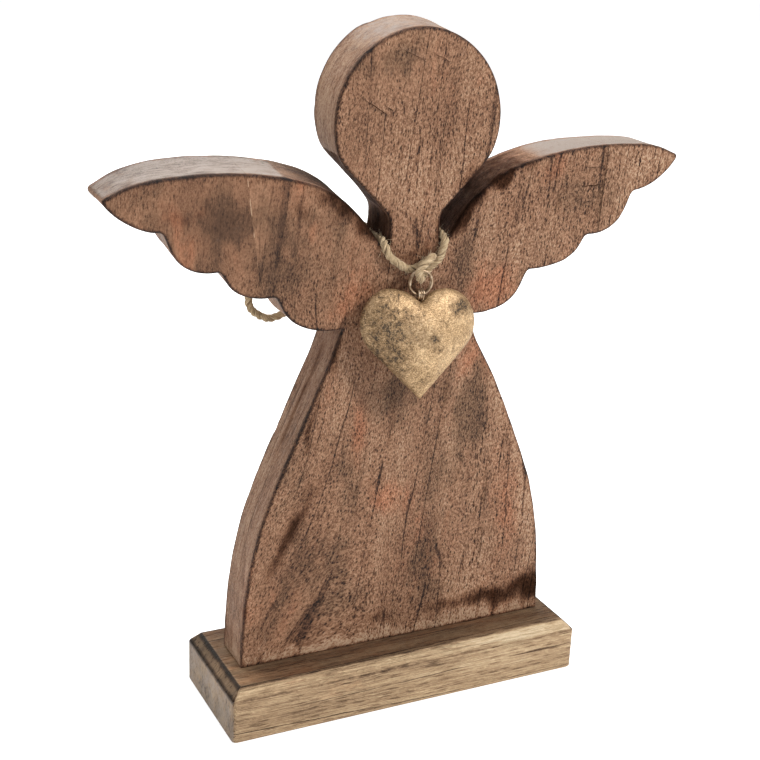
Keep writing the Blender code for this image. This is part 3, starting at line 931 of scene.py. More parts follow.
def angel_blank():
    """The whole angel as one solid, before it is parted at its glue lines."""
    loop = even_loop(whole_outline(), OUTLINE_STEP)
    loop = wobbled(softened(loop, 2, lambda p: p.y < BOARD_FOOT + 0.3))
    radii = [arris_radius(p) for p in loop]
    inner = shrunk(loop, radii)

    def rows_at(i):
        radius = radii[i]
        bends = [math.radians(90 * k / ARRIS_STEPS) for k in range(ARRIS_STEPS + 1)]
        front = [(1 - math.sin(a), -BOARD_HALF + radius * (1 - math.cos(a))) for a in bends]
        back = [(share, -height) for share, height in front[::-1]]
        side = []
        for k in range(1, SIDE_STEPS):
            height = -BOARD_HALF + radius + (2 * BOARD_HALF - 2 * radius) * k / SIDE_STEPS
            dip = 0.16 * smooth_noise((loop[i].x, loop[i].y, height), 6.0, 7.0)
            side.append(((0.12 + dip) / radius, height))
        return front + side + back

    grooves = all_grooves(loop)
    points, faces = slab(loop, inner, rows_at, FACE_STEP, [(x, z) for x, z, _ in grooves])
    deep = {(round(x, 4), round(z, 4)): depth for x, z, depth in grooves}
    _, away = loop_distance(np.array([p[:2] for p in points]), loop)
    placed, rims, opened = [], [], []
    for (x, z, y), distance in zip(points, away):
        from_face = BOARD_HALF - abs(y)
        near_face = smooth_step(BOARD_HALF - 1.5, BOARD_HALF - 0.2, abs(y))
        sanding = 0.16 * smooth_noise((x, y, z), 34.0, 1.0) + 0.07 * smooth_noise((x, y, z), 9.0, 3.0) - 0.10
        depth = deep.get((round(x, 4), round(z, 4)), 0.0) if from_face < 0.01 else 0.0
        rise = saw_lean(x, z) * (y + BOARD_HALF) / (2 * BOARD_HALF)
        placed.append(Vector((x, y + math.copysign(near_face * sanding - depth, y), z + rise)))
        opened.append(depth)
        rims.append(distance if from_face < 0.02 else max(distance, from_face) * 0.8)
    return placed, faces, {"rim": rims, "groove": opened}


def shade_board(obj, lift=0.0, dull=0.0, grain_shift=(0.0, 0.0, 0.0)):
    """Writes the wood layers on a board from the painted areas. The back has the front's areas mirrored."""
    shades, grain = [], []
    groove = [entry.value for entry in obj.data.attributes["groove"].data]
    for vertex in obj.data.vertices:
        x, y, z = vertex.co / MM
        in_front = y <= 0
        place = (x, z) if in_front else (9.0 - 0.9 * x, z + 4.0)
        side = smooth_step(0.6, 3.0, BOARD_HALF - abs(y))
        face_scorch = painted(SCORCHED, *place) * (1.0 if in_front else 0.7) * (1 - 0.5 * side)
        glue = glue_speck(x, z) if 0.05 < groove[vertex.index] < 0.2 else 0.0
        side_lift = (0.09 + 0.05 * smooth_step(265.0, 290.0, z)) * side
        face_dull = max(dull, painted(DULLED, *place)) * (1 - 0.4 * side)
        values = {
            "scorch": max(face_scorch, 0.86 * neck_burn(x, z) * side, side_vein(x, y, z) * side),
            "lift": lift + 0.16 * painted(LIGHTENED, *place) + side_lift + glue,
            "dull": max(face_dull, wing_soot(x, z, vertex.normal) * side),
            "red": painted(REDDENED, *place) * (1 - 0.6 * side),
            # pale: dust, and painted sheen on edges that face up or left
            "pale": dust_and_sheen_on_sides(x, z, vertex.normal) * side,
            "sawn": side,
            "relief": (1 - 0.25 * side) * (1 - painted(SMOOTHED, *place)),
            "pits": (0.25 + painted(PITTED, *place)) * (1 - 0.5 * side),
        }
        shades.append(values)
        grain.append((x - grain_lean(x, z), z, y))
    add_shades(obj, shades, grain, grain_shift)


def wing_soot(x, z, normal):
    """Grey-brown on the top edge of the left wing."""
    if z >= 295:
        return 0.0
    return 0.8 * smooth_step(0.40, 0.75, normal.z) * smooth_step(-24.0, -40.0, x)


def dust_and_sheen_on_sides(x, z, normal):
    """Where the sawn edges are pale, from dust and from painted sheen: the wings' tops, the head's crown
    and the edges that look left.
    """
    upward = smooth_step(0.55, 0.90, normal.z)
    fade = 8.0 * smooth_noise((x, 0.0, z), 9.0, 3.0)
    left_top = 0.95 * upward * smooth_step(-66.0 + fade, -76.0 + fade, x)
    left_top *= 0.50 + 0.50 * smooth_step(-150.0, -118.0, x + fade)
    left_top = max(left_top, 0.16 * upward * smooth_step(-20.0, -40.0, x))
    right_top = 0.80 * upward * smooth_step(62.0, 84.0, x + fade)
    crown = 0.42 * upward * smooth_step(330.0, 346.0, z)
    leftward = smooth_step(0.35, 0.8, -normal.x)
    feather = 0.26 * leftward * smooth_step(-55.0, -75.0, x)
    feather *= smooth_step(272.0, 262.0, z) * smooth_step(212.0, 220.0, z)
    armpit = 0.16 * leftward * smooth_step(186.0, 204.0, z) * (z < 209)
    robe = 0.10 * leftward * (z < 209)
    return max(left_top, right_top, crown, feather, armpit, robe)


def side_vein(x, y, z):
    """A dark vein down the middle of the robe's left-hand edge."""
    if x > 0 or z > 205:
        return 0.0
    middle = 2.0 + 3.5 * smooth_noise((0.0, 0.0, z), 30.0, 5.0)
    stretch = smooth_step(120.0, 150.0, z) * smooth_step(203.0, 190.0, z)
    return 0.72 * math.exp(-(((y - middle) / 2.6) ** 2)) * stretch


def glue_speck(x, z):
    """Broken squeeze-out along the left glue line."""
    return 0.95 * smooth_step(-0.05, 0.25, smooth_noise((x, 0.0, z), 3.4, 2.0)) * smooth_step(238.0, 250.0, z)


def neck_burn(x, z):
    """The saw burn on the edges round the neck, deepest in the two notches."""
    if z > 292 or z < 238:
        return 0.0
    on_neck = math.exp(-(((abs(x) - 15.0) / 9.0) ** 2)) * smooth_step(272.0, 258.0, z)
    on_right = smooth_step(88.0, 50.0, x) * smooth_step(16.0, 19.0, x)
    on_left = 0.95 * smooth_step(-84.0, -40.0, x) * smooth_step(-14.0, -17.0, x)
    return max(on_neck, on_right if x > 0 else 0.0, on_left if x < 0 else 0.0)


def parted(name, points, faces, values, seams, keep):
    """The part of the blank that keep(point) wants, cut at the seams and closed. A seam is (x, lean)."""
    work = bmesh.new()
    layers = {key: work.verts.layers.float.new(key) for key in values}
    for i, point in enumerate(points):
        vert = work.verts.new(point)
        for key, layer in layers.items():
            vert[layer] = values[key][i]
    work.verts.ensure_lookup_table()
    for face in faces:
        work.faces.new([work.verts[i] for i in face])
    for seam in seams:
        near = [f for f in work.faces if all(v.co.z > WING_FOOT for v in f.verts)]
        edges = {e for f in near for e in f.edges}
        verts = {v for f in near for v in f.verts}
        cut = {"plane_co": seam_point(seam), "plane_no": seam_normal(seam)}
        bmesh.ops.bisect_plane(work, geom=[*verts, *edges, *near], dist=1e-4, **cut)
    unwanted = [f for f in work.faces if not keep(f.calc_center_median())]
    bmesh.ops.delete(work, geom=unwanted, context="FACES")
    closed = bmesh.ops.holes_fill(work, edges=[e for e in work.edges if e.is_boundary], sides=0)
    bmesh.ops.triangulate(work, faces=closed["faces"])
    loose = [v for v in work.verts if not v.link_faces]
    bmesh.ops.delete(work, geom=loose, context="VERTS")
    work.verts.index_update()
    kept = {key: [v[layer] for v in work.verts] for key, layer in layers.items()}
    coords = [v.co.copy() for v in work.verts]
    kept_faces = [[v.index for v in f.verts] for f in work.faces]
    work.free()
    made = make_object(name, coords, kept_faces)
    for key, numbers in kept.items():
        add_values(made, key, numbers)
    return made


def seam_point(seam):
    return Vector((seam[0], 0.0, SEAM_HEIGHT))


def seam_normal(seam):
    return Vector((math.cos(seam[1]), 0.0, -math.sin(seam[1])))


def beyond(point, seam):
    """How far a point is to the right of a seam."""
    return (point - seam_point(seam)).dot(seam_normal(seam))


def build_angel():
    """The three boards, parted from one blank."""
    points, faces, values = angel_blank()
    left, right = (LEFT_SEAM, LEFT_SEAM_LEAN), (RIGHT_SEAM, RIGHT_SEAM_LEAN)

    def on_left(p):
        return p.z > WING_FOOT and beyond(p, left) < 0

    def on_right(p):
        return p.z > WING_FOOT and beyond(p, right) > 0

    def in_centre(p):
        return not on_left(p) and not on_right(p)

    def board(name, node, seams, keep, material, slot, **shades):
        made = parted(name, points, faces, values, seams, keep)
        shade_board(made, **shades)
        finish_piece(made, "figure", material, node)

    body_wood = wood("reddish_wood", WOOD_STOPS, 0.70, lines=1.35)
    wing_wood = wood("brown_wood", WOOD_STOPS, 0.60, lines=0.6, bands=0.5)
    board("angel_centre", "centre_board", (left, right), in_centre, body_wood, "board_wood")
    shades = {"dull": 0.26, "grain_shift": (37.0, 120.0, 15.0)}
    board("angel_left_wing", "left_wing_board", (left,), on_left, wing_wood, "wing_wood", **shades)
    shades = {"lift": 0.03, "grain_shift": (-53.0, 45.0, 27.0)}
    board("angel_right_wing", "right_wing_board", (right,), on_right, body_wood, "board_wood", **shades)


# ---------- plinth ----------

PLINTH_CORNER = 2.6
CORNER_STEPS = 5
PLINTH_CHAMFER = 5.4
PLINTH_STEP = 1.3
PLINTH_REACH = PLINTH_CHAMFER + 1.3  # the side's points run this far in over the top
SHOULDER = PLINTH_HIGH.z - PLINTH_CHAMFER
SIDE_ROWS = 18
CHAMFER_ROWS = 7
BORE_SIDES = 40
BORE_LOW, BORE_HIGH = -2.0, 18.0
BORE_CLEARANCE = 0.3


def rounded_rectangle(half_x, half_y, radius):
    """A rectangle with round corners, anticlockwise from the middle of its right side's upper corner."""
    steps = [round(2 * half / PLINTH_STEP) for half in (PLINTH_HIGH.x, PLINTH_HIGH.y)]
    reach = Vector((half_x - radius, half_y - radius))
    centres = [reach * Vector(sign) for sign in ((1, 1), (-1, 1), (-1, -1), (1, -1))]
    points = []
    for corner, centre in enumerate(centres):
        for i in range(CORNER_STEPS):
            points.append(centre + radius * compass(90 * (corner + i / CORNER_STEPS)))
        start = centre + radius * compass(90 * (corner + 1))
        end = centres[(corner + 1) % 4] + (start - centre)
        side_steps = steps[corner % 2]
        points += [start.lerp(end, i / side_steps) for i in range(side_steps)]
    return points


def compass(degrees):
    """A unit step in a direction, turned from +X towards +Y."""
    angle = math.radians(degrees)
    return Vector((math.cos(angle), math.sin(angle)))


def weathered(x, z, face):
    """The relief that weather has worn in the plinth's long sides: harder fibres stand proud."""
    ripple = smooth_noise((x / 9.0, face, z * 1.1), 1.0, 3.0)
    ripple += 0.6 * smooth_noise((x / 5.0, face, z * 2.3), 1.0, 8.0)
    return 0.16 * ripple


def end_grain(x, y, z):
    """The relief of the plinth's sawn ends."""
    return 0.10 * smooth_noise((x, y, z), 1.6, 4.0)


def plinth_rows(x, y):
    """(inset, height) of the points up the plinth's side, over one place on its outline."""
    on_end = abs(x) > PLINTH_HIGH.x - 1.25
    knock = 0.5 * max(0.0, smooth_noise((x, y, 0.0), 8.0, 6.0))
    rows = [(1.2, 0.0), (0.5, 0.25), (0.12, 0.8)]
    for k in range(SIDE_ROWS):
        z = 1.4 + (SHOULDER - 2.0) * k / (SIDE_ROWS - 1)
        relief = end_grain(x, y, z) if on_end else weathered(x, z, math.copysign(1.0, y))
        rows.append((0.14 - 0.5 * relief, z))
    rows.append((0.20 + 0.3 * knock, SHOULDER - 0.25))
    slope = PLINTH_CHAMFER * (1.0 if on_end else 0.92)
    for k in range(CHAMFER_ROWS):
        share = (k + 0.5) / CHAMFER_ROWS
        relief = 0.10 * smooth_noise((x / 6.0, y / 6.0, 2.0 * share), 1.0, 12.0)
        inset = 0.25 + slope * share + knock * (1 - share) - relief
        rows.append((inset, SHOULDER + PLINTH_CHAMFER * share - relief))
    return [*rows, (slope + 0.5, PLINTH_HIGH.z - 0.12), (PLINTH_REACH, PLINTH_HIGH.z)]


def on_plinth_top(z, distance):
    """Whether a point this far inside the plinth's outline is on the flat of its top."""
    return distance > PLINTH_CHAMFER + 1.0 and z > SHOULDER


def plinth_shades(x, y, z, distance):
    """The wood layers at a point this far inside the plinth's outline."""
    half_x, half_y, _ = PLINTH_HIGH
    on_end = abs(x) > half_x - PLINTH_CHAMFER - 1.0 and (abs(x) - half_x) > (abs(y) - half_y)
    to_edge = abs(z - SHOULDER)
    if z >= SHOULDER + 1.5:
        to_edge = min(to_edge, abs(distance - PLINTH_CHAMFER))
    shades = {"relief": 1.0, "pits": 0.5, "rim": to_edge if on_end else to_edge + 0.8}
    if on_plinth_top(z, distance):
        shades.update(lift=-0.28 + 0.16 * smooth_step(-74.0, -94.0, x), scorch=0.44, relief=0.7, red=0.35)
    elif on_end and z > SHOULDER:
        shades.update(lift=-0.22, dull=0.4, relief=0.35, scorch=0.5 * smooth_step(3.0, 0.5, distance))
    elif on_end:
        shades.update(lift=-0.02, dull=0.4, relief=0.35, pale=0.40)
    elif z > SHOULDER:
        shades["lift"] = 0.03 + 0.22 * smooth_step(-60.0, 70.0, x) - 0.26 * smooth_step(4.0, 5.4, distance)
    else:
        shades["lift"] = 0.05 * smooth_step(-40.0, 60.0, x) + 0.01
    return shades


def build_plinth():
    """The chamfered block, with a hole bored for each screw."""
    loop = rounded_rectangle(PLINTH_HIGH.x, PLINTH_HIGH.y, PLINTH_CORNER)
    inner = rounded_rectangle(PLINTH_HIGH.x - PLINTH_REACH, PLINTH_HIGH.y - PLINTH_REACH, 0.8)

    def rows_at(i):
        return [(inset / PLINTH_REACH, z) for inset, z in plinth_rows(*loop[i])]

    points, faces = slab(loop, inner, rows_at, 2.4)
    _, away = loop_distance(np.array([p[:2] for p in points]), loop)
    placed, shades, grain = [], [], []
    for (x, y, z), distance in zip(points, away):
        if on_plinth_top(z, distance):
            z += 0.10 * smooth_noise((x, y, 0.0), 12.0, 2.0) - 0.1
        placed.append((x, y, z))
        shades.append(plinth_shades(x, y, z, distance))
        grain.append((0.85 * z + 0.20 * y + 40.0, 0.5 * x, 0.85 * y))
    made = make_object("plinth_block", placed, faces)
    add_shades(made, shades, grain)
    for node in SCREWS:
        bore(made, node)
    weather = {"lines": 2.4, "bands": 2.4, "worms": 0.10, "fibres": 1.10, "fibre_rate": 0.07, "strokes": 0.0}
    material = wood("weathered_plinth_wood", PLINTH_STOPS, 0.66, **weather)
    finish_piece(made, "figure", material, "plinth")


def bore_cutter(node):
    """A countersunk plug a little larger than a screw."""
    low, high = node_box(node)
    middle = (low + high) / 2
    head = (high.x - low.x) / 2 + BORE_CLEARANCE
    shank = head / 2
    seat = low.z + BORE_CLEARANCE
    profile = [(head, BORE_LOW), (head, seat), (shank, seat + head - shank), (shank, BORE_HIGH)]
    points = [(middle.x, middle.y, BORE_LOW), (middle.x, middle.y, BORE_HIGH)]
    for radius, z in profile:
        for i in range(BORE_SIDES):
            angle = math.tau * i / BORE_SIDES
            points.append((middle.x + radius * math.cos(angle), middle.y + radius * math.sin(angle), z))
    faces = []
    for k in range(len(profile) - 1):
        faces += ring_faces(2 + k * BORE_SIDES, BORE_SIDES)
    last = 2 + (len(profile) - 1) * BORE_SIDES
    for i in range(BORE_SIDES):
        after = (i + 1) % BORE_SIDES
        faces += [(0, 2 + after, 2 + i), (1, last + i, last + after)]
    return make_object(f"{node}_bore", points, faces)


def bore(block, node):
    """Opens the countersunk hole round a screw in the block's underside."""
    cutter = bore_cutter(node)
    cut = block.modifiers.new(cutter.name, "BOOLEAN")
    cut.operation = "DIFFERENCE"
    cut.object = cutter
    bpy.context.view_layer.update()
    graph = bpy.context.evaluated_depsgraph_get()
    result = bpy.data.meshes.new_from_object(block.evaluated_get(graph))
    block.modifiers.clear()
    block.data = result
    bpy.data.objects.remove(cutter)


# ---------- jute ----------

PLY_RADIUS = 1.08
PLY_OFFSET = 0.98
PLY_PITCH = 10.5
PLY_SIDES = 10
PLY_TAPER = (0.45, 0.85)  # the sizes of a ply's last two points
CORD_STEP = 0.85
HAIR_STEPS = 4
LOOP_ROOT = 3.6  # the bow's loops and ends start this far from the knot's middle, just inside its wraps


def frames_along(path):
    """A (tangent, side, other side) frame for each path point, turned as little as can be between them."""
    frames = []
    side = None
    for i in range(len(path)):
        tangent = (path[min(i + 1, len(path) - 1)] - path[max(i - 1, 0)]).normalized()
        if side is None:
            side = tangent.orthogonal().normalized()
        side = (side - tangent * side.dot(tangent)).normalized()
        frames.append((tangent, side, tangent.cross(side)))
    return frames


def tube(points, faces, spine, radii, sides):
    """Adds a closed round tube along a spine. It returns each new point's angle and place along the spine."""
    frames = frames_along(spine)
    base = len(points)
    marks = []
    for i, (point, (_, side, other)) in enumerate(zip(spine, frames)):
        for k in range(sides):
            angle = math.tau * k / sides
            points.append(point + radii[i] * (math.cos(angle) * side + math.sin(angle) * other))
            marks.append((angle, i))
    for i in range(len(spine) - 1):
        faces += ring_faces(base + i * sides, sides)
    last = base + (len(spine) - 1) * sides
    faces.append(tuple(base + k for k in range(sides))[::-1])
    faces.append(tuple(last + k for k in range(sides)))
    return marks


def jute_cord(name, knots, seed, hairs_per_mm=4.4, wild=()):
    """Three twisted plies along a smooth path, with loose hairs. The wild points fray more."""
    draw = random.Random(seed)
    path = even_run([Vector(k) for k in knots], CORD_STEP)
    frames = frames_along(path)
    step = (path[1] - path[0]).length
    points, faces, strands, hollows = [], [], [], []
    for ply in range(3):
        spine = []
        for i, (point, (_, side, other)) in enumerate(zip(path, frames)):
            turn = math.tau * (i * step / PLY_PITCH + ply / 3) + 0.5 * smooth_noise(point, 9.0, seed + ply)
            spine.append(point + PLY_OFFSET * (math.cos(turn) * side + math.sin(turn) * other))
        radii = [PLY_RADIUS * (1 + 0.14 * smooth_noise(p, 3.0, seed + 5 * ply)) for p in spine]
        for i, taper in enumerate(PLY_TAPER):
            radii[i] *= taper
            radii[-1 - i] *= taper
        marks = tube(points, faces, spine, radii, PLY_SIDES)
        for (angle, i), point in zip(marks, points[-len(marks) :]):
            length = i * step
            twist = angle - math.tau * length / 14.0
            strands.append((2 * math.cos(twist) + 9 * ply, 2 * math.sin(twist), length))
            # Painted shade in the gaps between the plies: darker nearer the cord's middle.
            hollows.append(1.0 - smooth_step(0.5, 1.6, (point - path[i]).length))
    for _ in range(int(len(path) * step * hairs_per_mm)):
        i = draw.randrange(2, len(path) - 2)
        add_hair(points, faces, draw, path[i], frames[i], wild)
    extra = len(points) - len(strands)
    strands += [(draw.uniform(-2, 2), 1.0, draw.uniform(0, 40)) for _ in range(extra)]
    # The loose hairs are a little lighter than the plies' outsides.
    hollows += [-0.25] * extra
    made = make_object(name, points, faces)
    add_vectors(made, "strand", strands)
    add_values(made, "gap_shade", hollows)
    return made


def add_hair(points, faces, draw, root, local, wild):
    """One loose fibre: it leaves the cord at a slant and curls away."""
    tangent, side, other = local
    fray = max([math.exp(-(((root - Vector(w)).length / 5.0) ** 2)) for w in wild], default=0.0)
    angle = draw.uniform(0, math.tau)
    outward = math.cos(angle) * side + math.sin(angle) * other
    length = draw.expovariate(1 / (1.3 + 2.6 * fray)) + 0.8
    length = min(length, 4.5 + 5.0 * fray)
    way = tangent * draw.choice((-1, 1)) * draw.uniform(0.3, 1.4) + outward * draw.uniform(0.3, 1.0)
    way.normalize()
    bend = outward * draw.uniform(-0.5, 0.7) + tangent * draw.uniform(-0.4, 0.4) + Vector((0, 0, -0.12))
    at = root + outward * 1.55
    spine = [at.copy()]
    for _ in range(HAIR_STEPS):
        way = (way + bend * 0.35 + Vector([draw.uniform(-0.18, 0.18) for _ in range(3)])).normalized()
        at = at + way * length / HAIR_STEPS
        spine.append(at.copy())
    thick = draw.uniform(0.035, 0.065)
    tube(points, faces, spine, [thick, thick, thick * 0.9, thick * 0.7, thick * 0.3], 3)


def build_cord(material):
    """The strand round the neck, hitched through the ring in front and tied in a bow behind."""
    behind = [(-1.5, 17.2, 245.2), (-6.9, 15.6, 246.6), (-11.5, 15.6, 249.0), (-16.2, 15.4, 250.6)]
    left = [(-16.9, 11.5, 250.2), (-16.7, 0.0, 249.4), (-16.6, -11.5, 248.8), (-17.0, -15.2, 247.2)]
    left_front = [(-16.4, -15.7, 244.6), (-14.5, -15.6, 241.9), (-9.8, -15.5, 238.4), (-3.8, -15.4, 234.8)]
    over = [(1.6, -15.4, 235.7), (6.4, -16.0, 239.0), (7.4, -18.6, 241.2), (4.4, -21.6, 240.8)]
    down = [(0.4, -22.8, 238.4), (-2.2, -23.4, 235.2), (-1.6, -23.3, 232.2)]
    through = [HITCH + Vector((-0.9, -2.2, -1.1)), HITCH, HITCH + Vector((1.0, 2.8, -1.1))]
    under = [(4.4, -15.5, 231.6), (7.6, -15.5, 234.6), (10.7, -15.5, 237.2)]
    right_front = [(13.3, -15.5, 239.8), (14.4, -15.5, 243.2), (14.9, -15.7, 245.4), (15.8, -15.1, 247.8)]
    right = [(16.2, -11.5, 249.4), (16.4, 0.0, 250.0), (16.4, 11.5, 250.6), (15.6, 15.4, 250.8)]
    home = [(11.5, 15.6, 249.0), (6.9, 15.6, 246.6), (1.5, 17.2, 245.2)]
    knots = behind + left + left_front + over + down + through + under + right_front + right + home
    wild = [(-20.0, -14.0, 251.0), (15.0, -14.0, 251.5), (4.0, -21.0, 240.5)]
    cord = jute_cord("jute_neck_cord", knots, 3, wild=wild)
    finish_piece(cord, "figure", material, "neck_cord")


def knot_wrap():
    """The cord's turns round the bow's middle."""
    turns, steps = 1.7, 26
    wrap = []
    for i in range(steps + 1):
        angle = math.tau * turns * i / steps + 0.6
        across = KNOT.x - 2.1 + 4.2 * i / steps
        wrap.append((across, KNOT.y - 0.2 + 2.5 * math.cos(angle), KNOT.z + 3.9 * math.sin(angle)))
    return wrap


def build_bow(material):
    """The bow at the back of the neck: a wrapped knot, two loops that can droop, and two cut ends."""
    knot = jute_cord("jute_bow_knot", knot_wrap(), 11)
    finish_piece(knot, "figure", material, "bow_knot")
    for side, seed in (("left", 17), ("right", 23)):
        node = f"bow_loop_{side}"
        loop = jute_cord(f"jute_loop_{side}", laid_out(node, teardrop, 2.4), seed)
        finish_piece(loop, f"{side}_loop", material, node)
    for side, seed in (("left", 29), ("right", 31)):
        node = f"cord_end_{side}"
        knots = laid_out(node, hanging_end)
        end = jute_cord(f"jute_end_{side}", knots, seed, hairs_per_mm=4.0, wild=[knots[-1]])
        finish_piece(end, "figure", material, node)


def laid_out(node, shape, sink=0.0):
    """Points along a CAD loop or cut end, whose shape gives (out, over) pairs for a length and a half width.
    The points near the knot sink towards the neck."""
    low, high = node_box(node)
    spots = [Vector((v.co.x / MM - KNOT.x, v.co.z / MM - KNOT.z)) for v in frame["nodes"][node].data.vertices]
    far = max(s.length for s in spots)
    outer = [s for s in spots if s.length > 0.9 * far]
    along = (sum(outer, Vector((0, 0))) / len(outer)).normalized()
    across = Vector((-along.y, along.x))
    spread = [s.dot(across) for s in spots]
    length = max(s.dot(along) for s in spots) - CORD_RADIUS
    half = 0.5 * (max(spread) - min(spread) - 2 * CORD_RADIUS)
    knots = []
    for out, over in shape(length, half):
        spot = along * out + across * over
        depth = (low.y + high.y) / 2 - sink * smooth_step(10.0, 1.0, out)
        knots.append((KNOT.x + spot.x, depth, KNOT.z + spot.y))
    return knots


def teardrop(length, half):
    """A loop's way out from the knot and back."""
    way_out = [(LOOP_ROOT, 0.9), (7.0, 2.3), (0.45 * length, 0.60 * half), (0.74 * length, 0.96 * half)]
    way_out.append((length - 0.45 * half, 0.80 * half))
    return [*way_out, (length, 0.0), *[(out, -over) for out, over in way_out[::-1]]]


def hanging_end(length, _):
    """A cut end's way out from the knot, nearly straight."""
    return [(LOOP_ROOT, 0.0), (7.0, 0.3), (0.4 * length, 0.9), (0.7 * length, 0.5), (length, -1.4)]


# ---------- pendant ----------

HEART_TILT = math.radians(8.5)
HEART_TURN = math.radians(1.5)
HEART_STEP = 0.75
HEART_SHEET = 0.7
PRESSING_STEPS = 2600
SEAM_STRAIGHT = 1.1  # the rim stands straight this far from the seam, clear of the stem's hole

# Dirt on the heart's front, with painted shade over its left lobe, about its hinge:
# (x, z, half width, half height, strength).
HEART_GRIME_AND_SHADE = [
    (-20, -18, 17, 26, 0.56),
    (-22, -4, 8, 5, 0.46),
    (-27, -18, 5, 9, 0.56),
    (21, -6.5, 7.5, 4.5, 0.66),
    (3, -21, 3.6, 3.6, 0.52),
    (-16, -26, 9, 7, 0.22),
    (-2, -44, 4, 5, 0.34),
    (9, -8, 2, 2, 0.45),
    (10, -15, 2.2, 2, 0.34),
    (-4, -33, 9, 9, 0.14),
    (6, -26, 5, 2.6, 0.36),
]


def heart_frame():
    """From the heart's own (across, depth, up) about its hinge to the row frame."""
    turn = Matrix.Rotation(-HEART_TILT, 4, "X") @ Matrix.Rotation(HEART_TURN, 4, "Y")
    return Matrix.Translation(HEART_PIVOT) @ turn


def puffed_heights(count, rim_count, faces):
    """A membrane's bulge, as thin sheet takes when pressed over a bead: 0 at the rim and 1 at most."""
    pairs = set()
    for face in faces:
        for a, b in zip(face, (*face[1:], face[0])):
            pairs.add((min(a, b), max(a, b)))
    pairs = np.array(sorted(pairs))
    degree = np.bincount(pairs.ravel(), minlength=count).astype(float)
    heights = np.zeros(count)
    for _ in range(PRESSING_STEPS):
        around = np.bincount(pairs[:, 0], heights[pairs[:, 1]], count)
        around += np.bincount(pairs[:, 1], heights[pairs[:, 0]], count)
        heights = around / degree + 1.0
        heights[:rim_count] = 0.0
    return heights / heights.max()


# Dirt and painted shade at a place on the heart, from the listed areas.
def heart_grime_and_shade(x, z):
    value = 0.0
    for cx, cz, half_width, half_height, strength in HEART_GRIME_AND_SHADE:
        distance = ((x - cx) / half_width) ** 2 + ((z - cz) / half_height) ** 2
        value = max(value, strength * math.exp(-distance))
    return value


def fuller_lobe(point):
    """The heart's left lobe was cut a little wider and higher than the right one."""
    share = smooth_step(3.0, 20.0, -point.x) * smooth_step(-46.0, -10.0, point.y)
    return point + share * Vector((-2.0, 2.2))


def build_heart(material, node, name, side):
    """One pressed half of the heart, side -1 in front and 1 behind."""
    place = heart_frame()
    turn = place.to_3x3()
    across, depth_axis, up = (turn @ Vector(axis) for axis in ((1, 0, 0), (0, 1, 0), (0, 0, 1)))
    level = HEART_PIVOT + depth_axis * side * SEAM_STRAIGHT
    loop = even_loop(section(node, level, across, up), HEART_STEP)
    loop = softened([fuller_lobe(p) for p in loop], 1, lambda p: False)
    inner = grid_inside(loop, HEART_STEP, 0.8 * HEART_STEP)
    faces = fill(loop, inner)
    flat = [tuple(p) for p in loop] + [tuple(p) for p in inner]
    heights = puffed_heights(len(flat), len(loop), faces)
    corners = [Vector(v.co) / MM - HEART_PIVOT for v in frame["nodes"][node].data.vertices]
    belly = max(abs(corner.dot(depth_axis)) for corner in corners)
    points, grime_and_shade = [], []
    for (x, z), height in zip(flat, heights):
        depth = 0.06 + (belly - 0.25) * height**0.52
        spot = (x, 5.0 * side, z)
        dent = 0.22 * smooth_noise(spot, 9.0, 2.0) + 0.10 * smooth_noise(spot, 3.2, 6.0)
        depth += dent * smooth_step(0.0, 0.3, height)
        points.append(place @ Vector((x, side * depth, z)))
        # Dirt and painted shade; the back shell has the front's, mirrored and fainter.
        grime_and_shade.append(heart_grime_and_shade(x, z) if side < 0 else heart_grime_and_shade(-x, z) * 0.8)
    made = make_object(name, points, faces, depth_axis * side)
    add_values(made, "grime_and_shade", grime_and_shade)
    sheet = made.modifiers.new("sheet", "SOLIDIFY")
    sheet.thickness = HEART_SHEET * MM
    sheet.offset = -1.0
    finish_piece(made, "heart", material, node)


def wire_object(name, spine, radius, sides=14):
    points, faces = [], []
    tube(points, faces, spine, [radius] * len(spine), sides)
    return make_object(name, points, faces)


def build_ring(material):
    """A split ring: two turns of wire lying against each other."""
    low, high = node_box("hanging_ring")
    wire = 0.58
    radius = (high.x - low.x) / 2 - wire
    centre = Vector(((low.x + high.x) / 2, (low.y + high.y) / 2, HEART_PIVOT.z + radius))
    turns, steps, lay = 1.96, 150, 0.62
    spine = []
    for i in range(steps + 1):
        share = i / steps
        angle = math.radians(205) + share * turns * math.tau
        depth = lay - 2 * lay * smooth_step(0.40, 0.60, share)
        spine.append(centre + Vector((radius * math.cos(angle), depth, radius * math.sin(angle))))
    ring = wire_object("split_ring", spine, wire)
    finish_piece(ring, "ring", material, "hanging_ring")


def build_eye(material):
    """The heart's wire eye: three turns round the foot of the ring, whose two legs go in at the notch."""
    wire = 0.52
    radius, half_width, turns = 2.40, 1.75, 3
    steps = 24 * turns
    place = heart_frame()
    leg = [(0.62, 0.1, -11.0 + 0.8 * i) for i in range(9)]
    spine = [place @ Vector((-x, y, z)) for x, y, z in leg]
    for i in range(steps + 1):
        share = i / steps
        angle = math.tau * turns * share - math.pi / 2
        across = half_width * (2 * share - 1)
        spine.append(place @ Vector((across, -radius * math.cos(angle), radius * math.sin(angle))))
    spine += [place @ Vector(p) for p in leg[::-1]]
    eye = wire_object("heart_wire_eye", even_run(spine, 0.35), wire, 10)
    finish_piece(eye, "heart", material, "heart_eye")


# ---------- stage ----------

SKY_LIGHT = 0.38
FLOOR_REACH = 14.0  # metres
